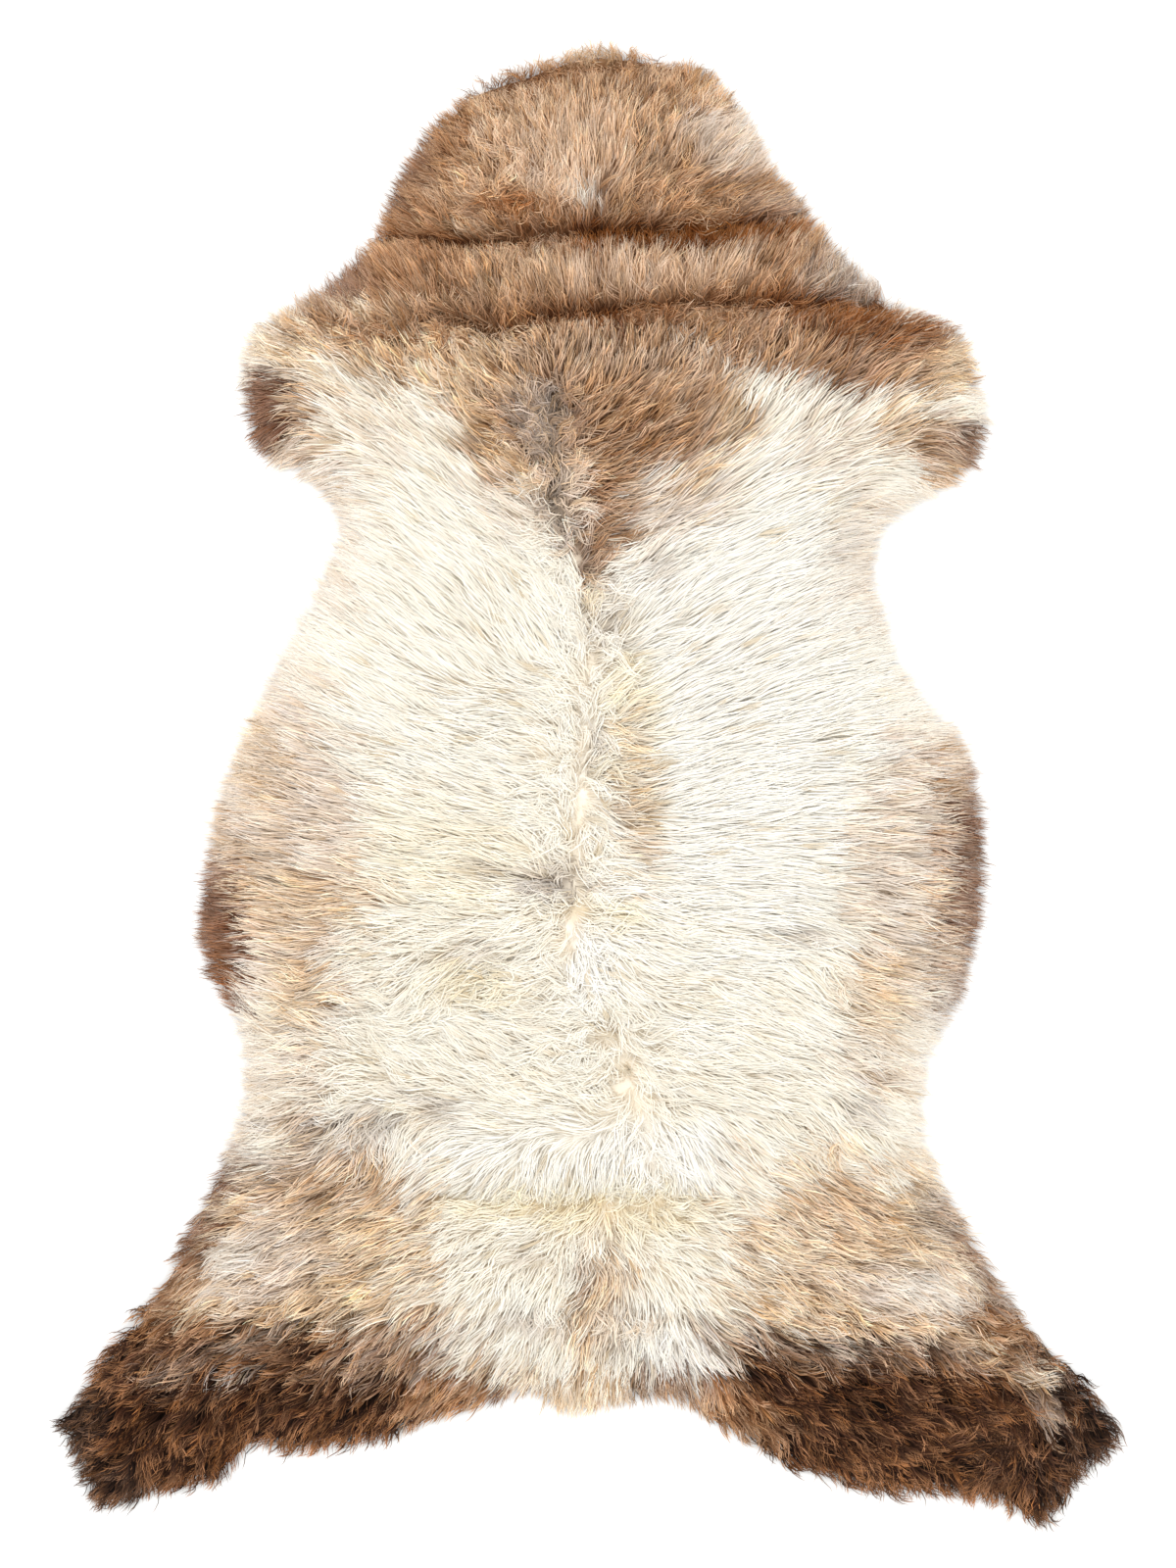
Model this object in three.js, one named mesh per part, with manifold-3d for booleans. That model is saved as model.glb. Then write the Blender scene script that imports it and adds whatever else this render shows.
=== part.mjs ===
// Sheepskin rug: one tanned hide with its own wool, laid flat with the wool up.
// Millimetres, +Z up, +Y towards the head end, origin on the floor under the middle of the box.
import * as THREE from "three";
import { mergeVertices } from "three/addons/utils/BufferGeometryUtils.js";
import Module from "manifold-3d";

// Wool heights over the floor
const BACK_HEIGHT = 36;
const LEG_HEIGHT = 29;
const RIM_HEIGHT = 11;
const LEAST_HEIGHT = 7;
const RIM_RUN = 52; // from the edge inwards until the wool stands at its full height
const LEG_START_Y = -400; // the hind legs thin out below this line
const LEG_RUN = 110;

// Tufts: soft lumps all over the wool
const TUFT_PITCH = 58;
const TUFT_RISE = 3.6;
const BROAD_PITCH = 170;
const BROAD_RISE = 2.4;

// Locks of wool that lie on the floor round the rim
const LOCK_COUNT = 240;
const LOCK_REACH = 15; // from the edge of the slab to the wool's tips
const LOCK_ROOT = 20; // hidden inside the slab
const LOCK_WIDTH = 13;
const LOCK_HEIGHT = 9;
const LOCK_KNEE = 0.62; // share of the length where a lock starts to narrow to its tip
const LOCK_WANDER = 6; // how far a tip strays to either side
const LOCK_SHORTEST = 0.55;

// Fineness of the faces
const GRID = 16;
const EDGE_STEPS = 180;

const WOOL_COLOUR = "#ddd0bb";
const WOOL_ROUGHNESS = 0.95;

// Where the wool's tips end, clockwise from the left of the neck. lean is how far the locks of a
// stretch lie over along the edge, clockwise when positive.
const STRETCHES = [
  {
    name: "neck and head", lean: 3,
    points: [
      [-172, 441], [-152, 490], [-127, 527], [-99, 560], [-53, 578], [5, 595], [66, 588],
      [98, 578], [127, 548], [154, 497], [182, 464], [207, 429],
    ],
  },
  {
    name: "right foreleg", lean: -2,
    points: [
      [249, 392], [305, 364], [318, 326], [329, 284], [305, 243], [249, 207], [234, 175], [242, 137],
    ],
  },
  {
    name: "right flank", lean: -1,
    points: [
      [265, 79], [306, 33], [319, -8], [324, -54], [321, -112], [303, -180], [280, -225],
      [279, -290], [306, -348],
    ],
  },
  {
    name: "right hind leg", lean: 4,
    points: [
      [338, -402], [372, -446], [409, -485], [437, -533], [401, -566], [372, -604], [332, -588],
      [284, -580], [225, -577], [160, -555], [107, -527],
    ],
  },
  {
    name: "tail", lean: 0,
    points: [
      [71, -503], [18, -508], [-12, -514], [-46, -499], [-101, -516], [-160, -536], [-229, -545],
      [-270, -544],
    ],
  },
  {
    name: "left hind leg", lean: -4,
    points: [
      [-288, -568], [-336, -576], [-393, -592], [-409, -566], [-423, -533], [-433, -515],
      [-411, -491], [-387, -454], [-353, -412], [-320, -357], [-295, -305], [-276, -234],
    ],
  },
  {
    name: "left flank", lean: 1,
    points: [
      [-291, -181], [-312, -138], [-308, -77], [-297, -12], [-272, 49], [-238, 116], [-212, 167],
      [-200, 200],
    ],
  },
  {
    name: "left foreleg", lean: 2,
    points: [[-214, 235], [-263, 262], [-280, 316], [-271, 364], [-230, 390], [-196, 412]],
  },
];

// Folds of the skin and partings of the wool, as troughs along short lines
const FOLDS = [
  { name: "brow fold", width: 16, depth: 4, line: [[-98, 550], [-30, 562], [70, 568]] },
  {
    name: "upper neck fold", width: 17, depth: 11,
    line: [[-172, 437], [-86, 428], [-25, 433], [10, 438], [95, 441], [134, 445], [186, 456]],
  },
  {
    name: "lower neck fold", width: 17, depth: 8,
    line: [[-110, 366], [-66, 355], [-34, 368], [1, 371], [68, 379], [141, 377], [236, 381]],
  },
  { name: "nape line", width: 14, depth: 5, line: [[10, 470], [8, 438], [12, 400], [12, 371]] },
  {
    name: "spine parting", width: 18, depth: 8,
    line: [[-25, 295], [-23, 235], [-15, 187], [3, 156], [7, 77], [-5, -3], [-9, -82], [-13, -165]],
  },
  { name: "tail fold", width: 17, depth: 9, line: [[-96, -337], [0, -336], [102, -331]] },
  { name: "left rump parting", width: 14, depth: 5, line: [[-60, -420], [-24, -424]] },
  { name: "right rump parting", width: 14, depth: 5, line: [[34, -422], [64, -424]] },
  { name: "left flank crease", width: 18, depth: 4, line: [[-180, 120], [-130, 128]] },
  { name: "right leg swirl", width: 16, depth: 6, line: [[305, -530], [322, -512], [345, -524]] },
  { name: "left leg crease", width: 16, depth: 5, line: [[-330, -470], [-260, -462], [-190, -470]] },
];

// Places where the wool stands in a roll or a cushion
const SWELLS = [
  { name: "crown of the head", x: -40, y: 500, wide: 90, high: 40, rise: 3 },
  { name: "neck roll", x: 10, y: 405, wide: 160, high: 20, rise: 6 },
  { name: "left shoulder", x: -110, y: 290, wide: 90, high: 60, rise: 3 },
  { name: "right shoulder", x: 130, y: 285, wide: 100, high: 60, rise: 3 },
  { name: "left of the spine", x: -110, y: 20, wide: 80, high: 170, rise: 4 },
  { name: "right of the spine", x: 120, y: -10, wide: 90, high: 180, rise: 4 },
  { name: "roll over the tail", x: -10, y: -310, wide: 120, high: 16, rise: 5 },
  { name: "rump", x: 10, y: -390, wide: 90, high: 30, rise: 4 },
  { name: "left haunch", x: -220, y: -400, wide: 60, high: 60, rise: 4 },
  { name: "right haunch", x: 230, y: -400, wide: 70, high: 60, rise: 4 },
];

const clamp01 = (value) => Math.min(1, Math.max(0, value));
const smooth = (value) => clamp01(value) ** 2 * (3 - 2 * clamp01(value));

// A repeatable number from 0 to 1 for the item at an index
function chance(index, salt) {
  const turned = Math.sin(index * 12.9898 + salt * 78.233) * 43758.5453;
  return turned - Math.floor(turned);
}

// The tips' corner points with their stretch's lean, and the direction inwards at each
function cornersOf(stretches) {
  const corners = stretches.flatMap((stretch) =>
    stretch.points.map(([x, y]) => ({ at: new THREE.Vector3(x, y, 0), lean: stretch.lean })),
  );
  return corners.map((corner, i) => {
    const before = corners.at(i - 1).at;
    const after = corners[(i + 1) % corners.length].at;
    const along = after.clone().sub(before).normalize();
    return { ...corner, along, inward: new THREE.Vector3(along.y, -along.x, 0) };
  });
}

const roundCurve = (points) => new THREE.CatmullRomCurve3(points, true, "centripetal");

// Shortest distance from a place to an open or closed line of [x, y] points
function distanceToLine(x, y, line, closed) {
  let least = Infinity;
  const last = closed ? line.length : line.length - 1;
  for (let i = 0; i < last; i++) {
    const [ax, ay] = line[i];
    const [bx, by] = line[(i + 1) % line.length];
    const [dx, dy] = [bx - ax, by - ay];
    const share = clamp01(((x - ax) * dx + (y - ay) * dy) / (dx * dx + dy * dy));
    least = Math.min(least, Math.hypot(x - ax - share * dx, y - ay - share * dy));
  }
  return least;
}

function isInside(x, y, line) {
  let inside = false;
  for (let i = 0, j = line.length - 1; i < line.length; j = i++) {
    const [ax, ay] = line[i];
    const [bx, by] = line[j];
    if (ay > y !== by > y && x < ((bx - ax) * (y - ay)) / (by - ay) + ax) inside = !inside;
  }
  return inside;
}

// Soft lumps of one pitch, from two crossed waves that bend each other
function lumps(x, y, pitch) {
  const turn = (2 * Math.PI) / pitch;
  const across = Math.sin(turn * x + 1.3 * Math.sin(turn * 0.45 * y));
  return across * Math.sin(turn * 1.15 * y + 1.5 * Math.sin(turn * 0.55 * x + 1));
}

// Height of the wool over the floor at a place
function woolHeight(x, y, edge) {
  const inwards = isInside(x, y, edge) ? distanceToLine(x, y, edge, true) : 0;
  const stand = smooth(inwards / RIM_RUN);
  const full = THREE.MathUtils.lerp(BACK_HEIGHT, LEG_HEIGHT, smooth((LEG_START_Y - y) / LEG_RUN));
  let height = THREE.MathUtils.lerp(RIM_HEIGHT, full, stand);
  height += stand * (TUFT_RISE * lumps(x, y, TUFT_PITCH) + BROAD_RISE * lumps(x, y, BROAD_PITCH));
  for (const swell of SWELLS) {
    const away = ((x - swell.x) / swell.wide) ** 2 + ((y - swell.y) / swell.high) ** 2;
    height += stand * swell.rise * Math.exp(-away);
  }
  for (const fold of FOLDS) {
    const away = distanceToLine(x, y, fold.line, false) / fold.width;
    height -= fold.depth * Math.exp(-away * away);
  }
  return Math.max(height, LEAST_HEIGHT);
}

// A block with the wool's lumpy top, wider than the rug, that the edge is cut from
function lumpyBlock(box, edge) {
  const columns = Math.ceil((box.max.x - box.min.x) / GRID) + 2;
  const rows = Math.ceil((box.max.y - box.min.y) / GRID) + 2;
  const top = new THREE.PlaneGeometry(columns * GRID, rows * GRID, columns, rows);
  const middle = box.getCenter(new THREE.Vector3());
  top.translate(middle.x, middle.y, 0);
  const places = top.attributes.position;
  for (let i = 0; i < places.count; i++) {
    places.setZ(i, woolHeight(places.getX(i), places.getY(i), edge));
  }
  return closedDownTo(top, columns, rows, -RIM_HEIGHT);
}

// Closes a sheet of rows and columns with four sides and an underside
function closedDownTo(sheet, columns, rows, floor) {
  const places = Array.from(sheet.attributes.position.array);
  const faces = Array.from(sheet.index.array);
  const rim = [];
  for (let i = 0; i < columns; i++) rim.push(i);
  for (let j = 0; j < rows; j++) rim.push(j * (columns + 1) + columns);
  for (let i = columns; i > 0; i--) rim.push(rows * (columns + 1) + i);
  for (let j = rows; j > 0; j--) rim.push(j * (columns + 1));
  const under = places.length / 3;
  for (const i of rim) places.push(places[3 * i], places[3 * i + 1], floor);
  const hub = places.length / 3;
  const middle = new THREE.Box3().setFromBufferAttribute(sheet.attributes.position)
    .getCenter(new THREE.Vector3());
  places.push(middle.x, middle.y, floor);
  for (let k = 0; k < rim.length; k++) {
    const next = (k + 1) % rim.length;
    faces.push(rim[k], rim[next], under + next, rim[k], under + next, under + k);
    faces.push(hub, under + k, under + next);
  }
  return new THREE.BufferGeometry()
    .setAttribute("position", new THREE.Float32BufferAttribute(places, 3))
    .setIndex(faces);
}

// One lock: three sides, level on the floor, from a root in the slab to a tip at the wool's reach
function rimLock(root, tip, width, height) {
  const along = tip.clone().sub(root).normalize();
  const side = new THREE.Vector3(-along.y, along.x, 0);
  const knee = root.clone().lerp(tip, LOCK_KNEE);
  const ring = (at, half, rise) => [
    at.x + side.x * half, at.y + side.y * half, 0,
    at.x - side.x * half, at.y - side.y * half, 0,
    at.x, at.y, rise,
  ];
  const places = [
    ...ring(root, width / 2, height),
    ...ring(knee, width / 2.4, height * 0.8),
    tip.x, tip.y, 0,
  ];
  const faces = [
    0, 1, 2, 0, 3, 4, 0, 4, 1, 3, 6, 4, 0, 2, 5, 0, 5, 3, 3, 5, 6, 1, 5, 2, 1, 4, 5, 4, 6, 5,
  ];
  return new THREE.BufferGeometry()
    .setAttribute("position", new THREE.Float32BufferAttribute(places, 3))
    .setIndex(faces);
}

const wasm = await Module();
wasm.setup();

function solidOf(geometry) {
  const bare = geometry.clone();
  bare.deleteAttribute("normal");
  bare.deleteAttribute("uv");
  const merged = mergeVertices(bare, 1e-4);
  return new wasm.Manifold(
    new wasm.Mesh({
      numProp: 3,
      vertProperties: merged.attributes.position.array,
      triVerts: new Uint32Array(merged.index.array),
    }),
  );
}

function geometryOf(solid) {
  const mesh = solid.getMesh();
  return new THREE.BufferGeometry()
    .setAttribute("position", new THREE.BufferAttribute(mesh.vertProperties, 3))
    .setIndex(new THREE.BufferAttribute(mesh.triVerts, 1));
}

// The slab of wool and hide, cut to the rug's edge
function woolSlab(edgeCurve) {
  const edge = edgeCurve.getSpacedPoints(EDGE_STEPS).slice(0, EDGE_STEPS);
  const line = edge.map((point) => [point.x, point.y]);
  const cutter = new THREE.ExtrudeGeometry(
    new THREE.Shape(edge.map((point) => new THREE.Vector2(point.x, point.y))),
    { depth: 3 * BACK_HEIGHT, steps: 1, bevelEnabled: false },
  );
  const block = lumpyBlock(new THREE.Box3().setFromPoints(edge), line);
  return solidOf(block).intersect(solidOf(cutter));
}

// The locks, side by side round the rim, joined to the slab at their roots
function addRimLocks(slab, corners, edgeCurve, reachCurve) {
  let rug = slab;
  for (let i = 0; i < LOCK_COUNT; i++) {
    const t = (reachCurve.getUtoTmapping(i / LOCK_COUNT) + 1) % 1;
    const corner = corners[Math.floor(t * corners.length)];
    const onEdge = edgeCurve.getPoint(t);
    const onReach = reachCurve.getPoint(t);
    const outward = onReach.clone().sub(onEdge).normalize();
    const stray = corner.lean + LOCK_WANDER * (2 * chance(i, 1) - 1);
    const length = THREE.MathUtils.lerp(LOCK_SHORTEST, 1, chance(i, 2));
    const tip = onEdge.clone().lerp(onReach, length).addScaledVector(corner.along, stray * length);
    const root = onEdge.clone().addScaledVector(outward, -LOCK_ROOT);
    const width = LOCK_WIDTH * THREE.MathUtils.lerp(0.8, 1.15, chance(i, 3));
    rug = rug.add(solidOf(rimLock(root, tip, width, LOCK_HEIGHT)));
  }
  return rug;
}

function sheepskin() {
  const corners = cornersOf(STRETCHES);
  const reachCurve = roundCurve(corners.map((corner) => corner.at));
  const edgeCurve = roundCurve(
    corners.map((corner) => corner.at.clone().addScaledVector(corner.inward, LOCK_REACH)),
  );
  const solid = addRimLocks(woolSlab(edgeCurve), corners, edgeCurve, reachCurve);
  const geometry = geometryOf(solid);
  geometry.computeVertexNormals();
  const material = new THREE.MeshStandardMaterial({
    color: WOOL_COLOUR, roughness: WOOL_ROUGHNESS, metalness: 0,
  });
  const mesh = new THREE.Mesh(geometry, material);
  mesh.name = "sheepskin";
  return mesh;
}

const group = new THREE.Group();
const rug = sheepskin();
const box = new THREE.Box3().setFromObject(rug);
const middle = box.getCenter(new THREE.Vector3());
rug.position.set(-middle.x, -middle.y, -box.min.z);
group.add(rug);

export default group;
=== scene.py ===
"""Looks of the sheepskin rug: a tanned hide with its wool, lying flat with the wool up.

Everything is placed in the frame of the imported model, in metres. The tables below are in
millimetres, +X to the right and +Y towards the head end, and MM turns them into metres.
"""

import logging
import math
from dataclasses import dataclass, field
from enum import Enum, IntEnum

import bpy
import numpy as np
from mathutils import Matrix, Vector
from mathutils.geometry import delaunay_2d_cdt

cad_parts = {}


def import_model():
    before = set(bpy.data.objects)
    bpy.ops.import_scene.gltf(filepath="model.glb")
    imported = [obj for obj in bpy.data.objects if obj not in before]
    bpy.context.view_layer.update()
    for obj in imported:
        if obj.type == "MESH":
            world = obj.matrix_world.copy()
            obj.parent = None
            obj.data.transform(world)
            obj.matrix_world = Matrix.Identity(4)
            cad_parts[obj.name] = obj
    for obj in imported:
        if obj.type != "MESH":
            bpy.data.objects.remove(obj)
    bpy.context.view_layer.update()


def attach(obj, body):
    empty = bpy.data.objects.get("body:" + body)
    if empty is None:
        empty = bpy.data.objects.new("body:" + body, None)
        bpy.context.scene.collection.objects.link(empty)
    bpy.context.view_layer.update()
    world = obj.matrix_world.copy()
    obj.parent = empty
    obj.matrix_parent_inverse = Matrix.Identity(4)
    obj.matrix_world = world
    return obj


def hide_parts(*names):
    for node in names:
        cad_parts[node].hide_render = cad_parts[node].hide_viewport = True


LOG = logging.getLogger("sheepskin")
MM = 0.001
NODE = "sheepskin"
BODY = "root"
TONE = "wool_tone"
TINY = 1e-9
NOISE_SPAN = 257
NOISE_SHIFT = 97.3
# Seed for choosing the dark locks of painted shadow between tufts
SHADOW_LOCK_SEED = 500
MAP_STRETCH = 4.3
MAP_ACROSS = (0.12, 0.76)
MAP_ALONG = (0.06, 0.88)
LAST_CELL = 1.001
FILL_INSIDE = 1
WELD = 1e-6


class Side(Enum):
    """The areas of the hide in which the wool lies its own way, up to a fold or a parting."""

    HEAD = "head"
    NECK = "neck"
    LEFT = "left"
    RIGHT = "right"
    TAIL = "tail"


class Noise(IntEnum):
    """The patterns of soft random numbers, each with its own seed."""

    TUFT_HEIGHT = 11
    BROAD_HEIGHT = 12
    SEAM_FINE = 21
    SEAM_BROAD = 22
    BUCKLE = 31
    UNDERWOOL_HEIGHT = 41
    UNDERWOOL_TONE = 42
    LOCK_LENGTH = 51
    LOCK_TURN = 52
    LOCK_BEND = 53
    WAVE = 54
    MOTTLE_FINE = 61
    MOTTLE_BROAD = 62
    GAP_SHADOW = 63
    EDGE_BROAD = 100
    EDGE_FINE = 300


class Tone(Enum):
    """The wool's colours, each as the root, the body and the tip of a lock in sRGB, and a fleck. The darker
    roots are partly the wool's own colour and partly painted shade deep in the pile.
    """

    WHITE = ((248, 243, 235), (251, 249, 244), (252, 251, 247), 0.022)
    IVORY = ((246, 240, 228), (248, 245, 237), (250, 248, 242), 0.02)
    CREAM = ((233, 217, 192), (246, 241, 228), (249, 246, 237), 0.033)
    YELLOW = ((208, 180, 128), (241, 228, 193), (250, 242, 217), 0.07)
    BEIGE = ((172, 144, 118), (227, 209, 191), (245, 235, 224), 0.12)
    PALE_FAWN = ((160, 112, 74), (215, 181, 149), (240, 219, 197), 0.13)
    FAWN = ((98, 58, 30), (187, 147, 112), (230, 202, 172), 0.24)
    TAN = ((146, 102, 60), (219, 187, 150), (243, 226, 200), 0.20)
    BROWN = ((72, 38, 18), (148, 105, 73), (202, 165, 131), 0.24)
    CHESTNUT = ((50, 21, 4), (112, 59, 20), (160, 102, 52), 0.20)
    GREY_BROWN = ((66, 52, 44), (150, 127, 110), (206, 187, 170), 0.24)
    GREY = ((130, 116, 104), (206, 195, 183), (240, 233, 224), 0.10)
    RUSSET_RIM = ((56, 30, 18), (112, 76, 58), (160, 128, 108), 0.22)
    UMBER = ((10, 5, 2), (55, 33, 23), (157, 111, 77), 0.38)
    SOOT = ((8, 5, 4), (44, 31, 25), (112, 86, 70), 0.34)

    @property
    def fleck(self) -> float:
        """How unlike each other the single strands of this tone are."""
        return self.value[3]

    def parts(self) -> np.ndarray:
        """The root, body and tip colours in linear light."""
        return np.array([linear(part) for part in self.value[:3]])


@dataclass(frozen=True)
class Fold:
    """A fold or a parting. Sizes in millimetres and the tangle in degrees.

    Wool that lies towards a fold that stops it ends there. The tangle is how far the locks beside
    it stray. The tone is painted into the trough, partly as the wool's own colour there and partly
    as painted shade of the crease, and the shade is how strongly.
    """

    width: float
    depth: float
    stops: bool
    tangle: float
    tone: Tone
    shade: float
    line: list[tuple[float, float]]

    def points(self) -> np.ndarray:
        """The line's points as rows of x and y."""
        return np.array(self.line, float)

    def away(self, places: np.ndarray) -> np.ndarray:
        """How far places are from the line, in widths of the fold."""
        return line_distance(places, self.points(), False) / self.width

    def beyond(self, places: np.ndarray) -> np.ndarray:
        """How far places lie beyond a fold that runs across the rug, towards the head."""
        line = self.points()
        return places[:, 1] - np.interp(places[:, 0], line[:, 0], line[:, 1])


@dataclass(frozen=True)
class Swell:
    """A place where the wool stands in a roll or a cushion. Sizes in millimetres."""

    x: float
    y: float
    wide: float
    high: float
    rise: float


# Where the wool's tips end, clockwise from the left of the neck
OUTLINE = {
    "neck and head": [
        (-172, 441), (-152, 490), (-127, 527), (-99, 560), (-53, 578), (5, 595), (66, 588),
        (98, 578), (127, 548), (154, 497), (182, 464), (207, 429),
    ],
    "right foreleg": [
        (249, 392), (305, 364), (318, 326), (329, 284), (305, 243), (249, 207), (234, 175), (242, 137),
    ],
    "right flank": [
        (265, 79), (306, 33), (319, -8), (324, -54), (321, -112), (303, -180), (280, -225),
        (279, -290), (306, -348),
    ],
    "right hind leg": [
        (338, -402), (372, -446), (409, -485), (437, -533), (401, -566), (372, -604), (332, -588),
        (284, -580), (225, -577), (160, -555), (107, -527),
    ],
    "tail": [
        (71, -503), (18, -508), (-12, -514), (-46, -499), (-101, -516), (-160, -536), (-229, -545),
        (-270, -544),
    ],
    "left hind leg": [
        (-288, -568), (-336, -576), (-393, -592), (-409, -566), (-423, -533), (-433, -515),
        (-411, -491), (-387, -454), (-353, -412), (-320, -357), (-295, -305), (-276, -234),
    ],
    "left flank": [
        (-291, -181), (-312, -138), (-308, -77), (-297, -12), (-272, 49), (-238, 116), (-212, 167),
        (-200, 200),
    ],
    "left foreleg": [(-214, 235), (-263, 262), (-280, 316), (-271, 364), (-230, 390), (-196, 412)],
}

# Folds and partings, with the tones of their painted crease shade, and the places where the wool stands in
# a roll or a cushion
FOLDS = {
    "brow": Fold(7, 5, True, 16, Tone.CHESTNUT, 0.5, [
        (-92, 552), (-46, 563), (-8, 571), (40, 575), (66, 581),
    ]),
    "upper neck": Fold(10, 13, True, 6, Tone.CHESTNUT, 0.9, [
        (-172, 437), (-86, 428), (-25, 433), (10, 438), (95, 441), (134, 445), (186, 456),
    ]),
    "lower neck": Fold(10, 9, True, 14, Tone.CHESTNUT, 0.7, [
        (-110, 366), (-66, 355), (-34, 368), (1, 371), (68, 379), (141, 377), (236, 381),
    ]),
    "nape": Fold(7, 4, False, 4, Tone.CHESTNUT, 0.7, [(10, 470), (8, 438), (12, 400), (12, 371)]),
    "spine": Fold(15, 0.5, False, 34, Tone.CREAM, 0.2, [
        (-25, 295), (-23, 235), (-15, 187), (3, 156), (8, 77), (-5, -3), (-9, -82), (-14, -118),
        (-10, -160), (14, -195), (28, -215), (46, -262), (56, -292), (48, -335),
    ]),
    "over the tail": Fold(10, 6, True, 10, Tone.YELLOW, 0.22, [
        (-100, -332), (-78, -339), (-52, -333), (-20, -339), (8, -332), (38, -338), (70, -330),
        (104, -334),
    ]),
    "crease of the tail": Fold(5, 4, False, 8, Tone.BROWN, 0.4, [
        (-45, -375), (-8, -381), (8, -382),
    ]),
    "left of the rump": Fold(7, 6, False, 14, Tone.BROWN, 0.5, [
        (-58, -424), (-24, -428), (-4, -426),
    ]),
    "right of the rump": Fold(7, 6, False, 14, Tone.TAN, 0.6, [(42, -428), (60, -422)]),
    "swirl of the right leg": Fold(10, 5, False, 30, Tone.UMBER, 0.6, [
        (312, -548), (325, -540), (340, -545),
    ]),
}

SWELLS = {
    "crown of the head": Swell(-40, 500, 90, 40, 3),
    "neck roll": Swell(10, 405, 160, 20, 6),
    "left shoulder": Swell(-110, 290, 90, 60, 3),
    "right shoulder": Swell(130, 285, 100, 60, 3),
    "left of the spine": Swell(-110, 20, 80, 170, 4),
    "right of the spine": Swell(120, -10, 90, 180, 4),
    "roll over the tail": Swell(-10, -310, 120, 16, 5),
    "rump": Swell(10, -390, 90, 30, 4),
    "left haunch": Swell(-220, -400, 60, 60, 4),
    "right haunch": Swell(230, -400, 70, 60, 4),
}

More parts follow.
